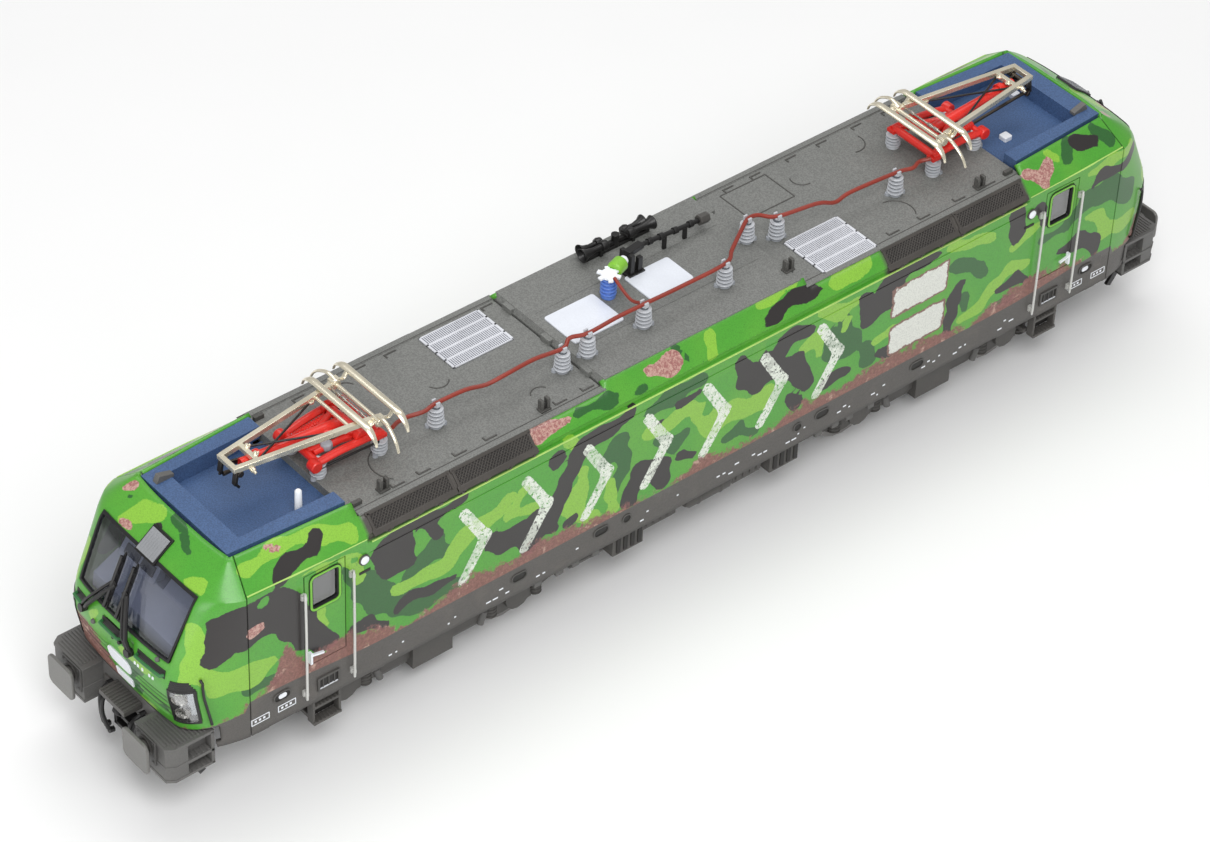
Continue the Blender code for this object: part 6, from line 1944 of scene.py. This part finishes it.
# x range, lower z and outer y of the cases under the body
CASES = (
    (-19.3, -12.8, 7.0, 16.0),
    (-11.8, -4.6, 7.7, 14.6),
    (-3.6, 6.8, 8.2, 12.8),
    (7.6, 13.6, 7.6, 14.8),
    (14.8, 21.2, 7.0, 16.0),
)
# x and width of the brackets under the sill
BRACKETS = ((-44.6, 3.2), (41.8, 3.2), (66.5, 2.6), (-68.6, 2.6), (88.6, 2.4), (-90.6, 2.4), (92.6, 1.8))


def underframe():
    piece = Piece("equipment_cases", ROOT, "frame_grey", "frame", "vent_dark", "beam")
    for side in SIDES:
        for x0, x1, z0, out in CASES:
            low, high = outward(side, 4.0, out)
            piece.paint = 0
            piece.box((x0, low, z0), (x1, high, 11.2))
            face = sorted((side * (out - 0.1), side * (out + 0.22)))
            for i in range(int((x1 - x0) / 1.5)):
                x = x0 + 0.7 + 1.5 * i
                piece.paint = 1 if out > 15 else 0
                piece.box((x, face[0], z0 + 0.5), (x + 0.9, face[1], 10.6))
        piece.paint = 0
        tank = [(0, 0), (0.3, 1.1), (0.9, 1.5), (9.5, 1.5), (10.1, 1.1), (10.4, 0)]
        piece.lathe(tank, (-3.2, side * 14.3, 9.2), ALONG, 20)
        for x in (-0.6, 4.2):
            piece.lathe(drum(0.5, 1.62), (x, side * 14.3, 9.2), ALONG, 20)
        piece.paint = 2
        for x0, x1, z in ((-33, -20.5, 10.6), (22, 33, 10.6), (-28, -21, 9.2)):
            piece.tube([(x0, side * 15.2, z), (x1, side * 15.2, z)], 0.35, 8)
        for x in (-31.5, -28.2, -24.0, 24.6, 28.4, 31.6, 36.5, -36.0):
            piece.side_box(side, (x, x + 1.5), (15.2, 16.4), (9.9, 12.0))
        for x, w in BRACKETS:
            piece.side_box(side, (x, x + w), (14.9, 16.2), (10.4, 12.1))
    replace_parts(piece.done(bevel=0.12), "equipment_box")


# Centre x, z and width of the holes and covers in the sill
SILL_COVERS = (
    (-17.7, 15.6, 1.5),
    (19.3, 15.7, 1.5),
    (-23.1, 15.8, 2.8),
    (24.8, 15.8, 2.8),
    (-40, 15.4, 2.8),
    (46.5, 15.4, 2.8),
)


def sill_details():
    """Jacking holes, small covers and short pale dashes along the sill."""
    piece = Piece("sill_details", ROOT, "frame_grey", "frame", "vent_dark", "white", "nickel")
    source = random.Random(7)
    for side in SIDES:
        for x, z, w in SILL_COVERS:
            x = x if side < 0 else -x
            outer = rounded(w + 0.5, 1.9, 0.9, 6, (x, z))
            inner = rounded(w, 1.4, 0.68, 6, (x, z))
            piece.paint = 0
            ring(piece, outer, inner, *outward(side, 17.0, 17.36))
            piece.paint = 1
            piece.prism(inner, *outward(side, 17.0, 17.22), "XZ")
        piece.paint = 2
        x = -66.0
        while x < 66:
            for k in range(source.randint(1, 4)):
                z = source.choice((13.2, 13.9, 14.6))
                wide = source.uniform(0.3, 1.1)
                piece.side_box(side, (x + 1.3 * k, x + 1.3 * k + wide), (17.15, 17.24), (z, z + 0.28))
            x += source.uniform(7.0, 15.0)
        for x in (-90.6, -85.6, 84.4, 90.0):
            ring(piece, rounded(3.4, 1.3, 0.1, 2, (x, 14.4)), rounded(3.1, 1.0, 0.05, 2, (x, 14.4)),
                 *outward(side, 17.1, 17.25))
            for k in range(3):
                piece.side_box(side, (x - 1.1 + 0.8 * k, x - 0.7 + 0.8 * k), (17.15, 17.24), (14.2, 14.6))
    piece.done(bevel=0)


M["buffer_face"] = painted("buffer_face_grey", (118, 117, 114), 0.36, 0.3, tint=0.12)
for n, turn in ENDS:
    head_stock(n, turn)
    near, far = (1, 2) if n == 1 else (3, 4)
    buffer(near, 1 if n == 1 else -1, turn)
    buffer(far, -1 if n == 1 else 1, turn)
    hoses(n, turn)
    coupler(n, turn)
    bogie(n, turn)
    for letter, sign in (("a", -1), ("b", 1)):
        wheel_discs(f"{n}{letter}", sign, turn)
underframe()
sill_details()


# ---------------------------------------------------------------- finishes of the CAD nodes

NODE_FINISH = {
    "roof_hatch": "roof",
    "cab_roof": "blue",
    "cab_interior": "interior",
    "light_guide": "guide",
    "circuit_board": "board",
    "chassis_frame": "cast",
    "motor_can": "nickel",
    "motor_rotor": "copper",
    "flywheel": "brass",
    "cardan_shaft": "black",
    "worm": "steel",
    "worm_gear": "gear",
    "idler_gear": "gear",
    "gearbox": "black",
    "gearbox_cover": "black",
    "bogie_frame": "frame",
    "wheelset": "steel",
}
for name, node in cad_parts.items():
    stem = name.rsplit("_", 1)[0] if name[-1].isdigit() or name[-2:-1].isdigit() else name
    if stem in NODE_FINISH:
        node.data.materials.clear()
        node.data.materials.append(M[NODE_FINISH[stem]])


# ---------------------------------------------------------------- camera, light and floor

LENS = 119.8
SENSOR_WIDTH = 36.0
CLIP = (0.01, 10.0)
CAMERA_PLACE = (-340.24, -377.70, 451.49)
CAMERA_FORWARD = (0.50096, 0.56975, -0.65148)
CAMERA_RIGHT = (0.76928, -0.63802, 0.03357)
FLOOR_Z = -0.95
FLOOR_HALF = 4000
AMBIENT = 0.42


def aim(obj, position, right, up, forward):
    turn = Matrix((right, up, -Vector(forward))).transposed().to_4x4()
    obj.matrix_world = Matrix.Translation(Vector(position) * MM) @ turn


def add_camera():
    data = bpy.data.cameras.new("camera")
    data.lens = LENS
    data.sensor_width = SENSOR_WIDTH
    data.clip_start, data.clip_end = CLIP
    camera = new_object("camera", data)
    forward = Vector(CAMERA_FORWARD).normalized()
    right = Vector(CAMERA_RIGHT).normalized()
    up = right.cross(forward).normalized()
    aim(camera, CAMERA_PLACE, right, up, forward)
    bpy.context.scene.camera = camera


def add_light(name, place, target, size, power, colour=(1, 1, 1)):
    data = bpy.data.lights.new(name, "AREA")
    data.shape = "RECTANGLE"
    data.size, data.size_y = (s * MM for s in size)
    data.energy = power
    data.color = colour
    light = new_object(name, data)
    turn = (Vector(target) - Vector(place)).to_track_quat("-Z", "Y").to_matrix().to_4x4()
    light.matrix_world = Matrix.Translation(Vector(place) * MM) @ turn


def add_floor():
    bm = bmesh.new()
    signs = ((-1, -1), (1, -1), (1, 1), (-1, 1))
    bm.faces.new([bm.verts.new((x * FLOOR_HALF * MM, y * FLOOR_HALF * MM, FLOOR_Z * MM)) for x, y in signs])
    mesh = bpy.data.meshes.new("floor")
    bm.to_mesh(mesh)
    bm.free()
    s = Shader("floor_paper")
    shade = s.noise(60.0, detail=2.0, seed=30.0)
    mesh.materials.append(s.finish(s.mix(shade, (0.88, 0.88, 0.88), (0.92, 0.92, 0.92)), 0.9))
    new_object("floor", mesh)


def set_world():
    scene = bpy.context.scene
    world = bpy.data.worlds.new("studio")
    scene.world = world
    world.use_nodes = True
    background = world.node_tree.nodes["Background"]
    background.inputs["Color"].default_value = (1.0, 1.0, 1.0, 1.0)
    background.inputs["Strength"].default_value = AMBIENT
    scene.view_settings.view_transform = "Standard"


add_camera()
set_world()
add_floor()
add_light("key", (-260, -420, 620), (0, 0, 20), (420, 420), 3.6)
add_light("top", (120, 160, 640), (0, 0, 30), (600, 300), 1.6)
add_light("front", (-620, -120, 160), (-60, 0, 20), (260, 260), 0.8)
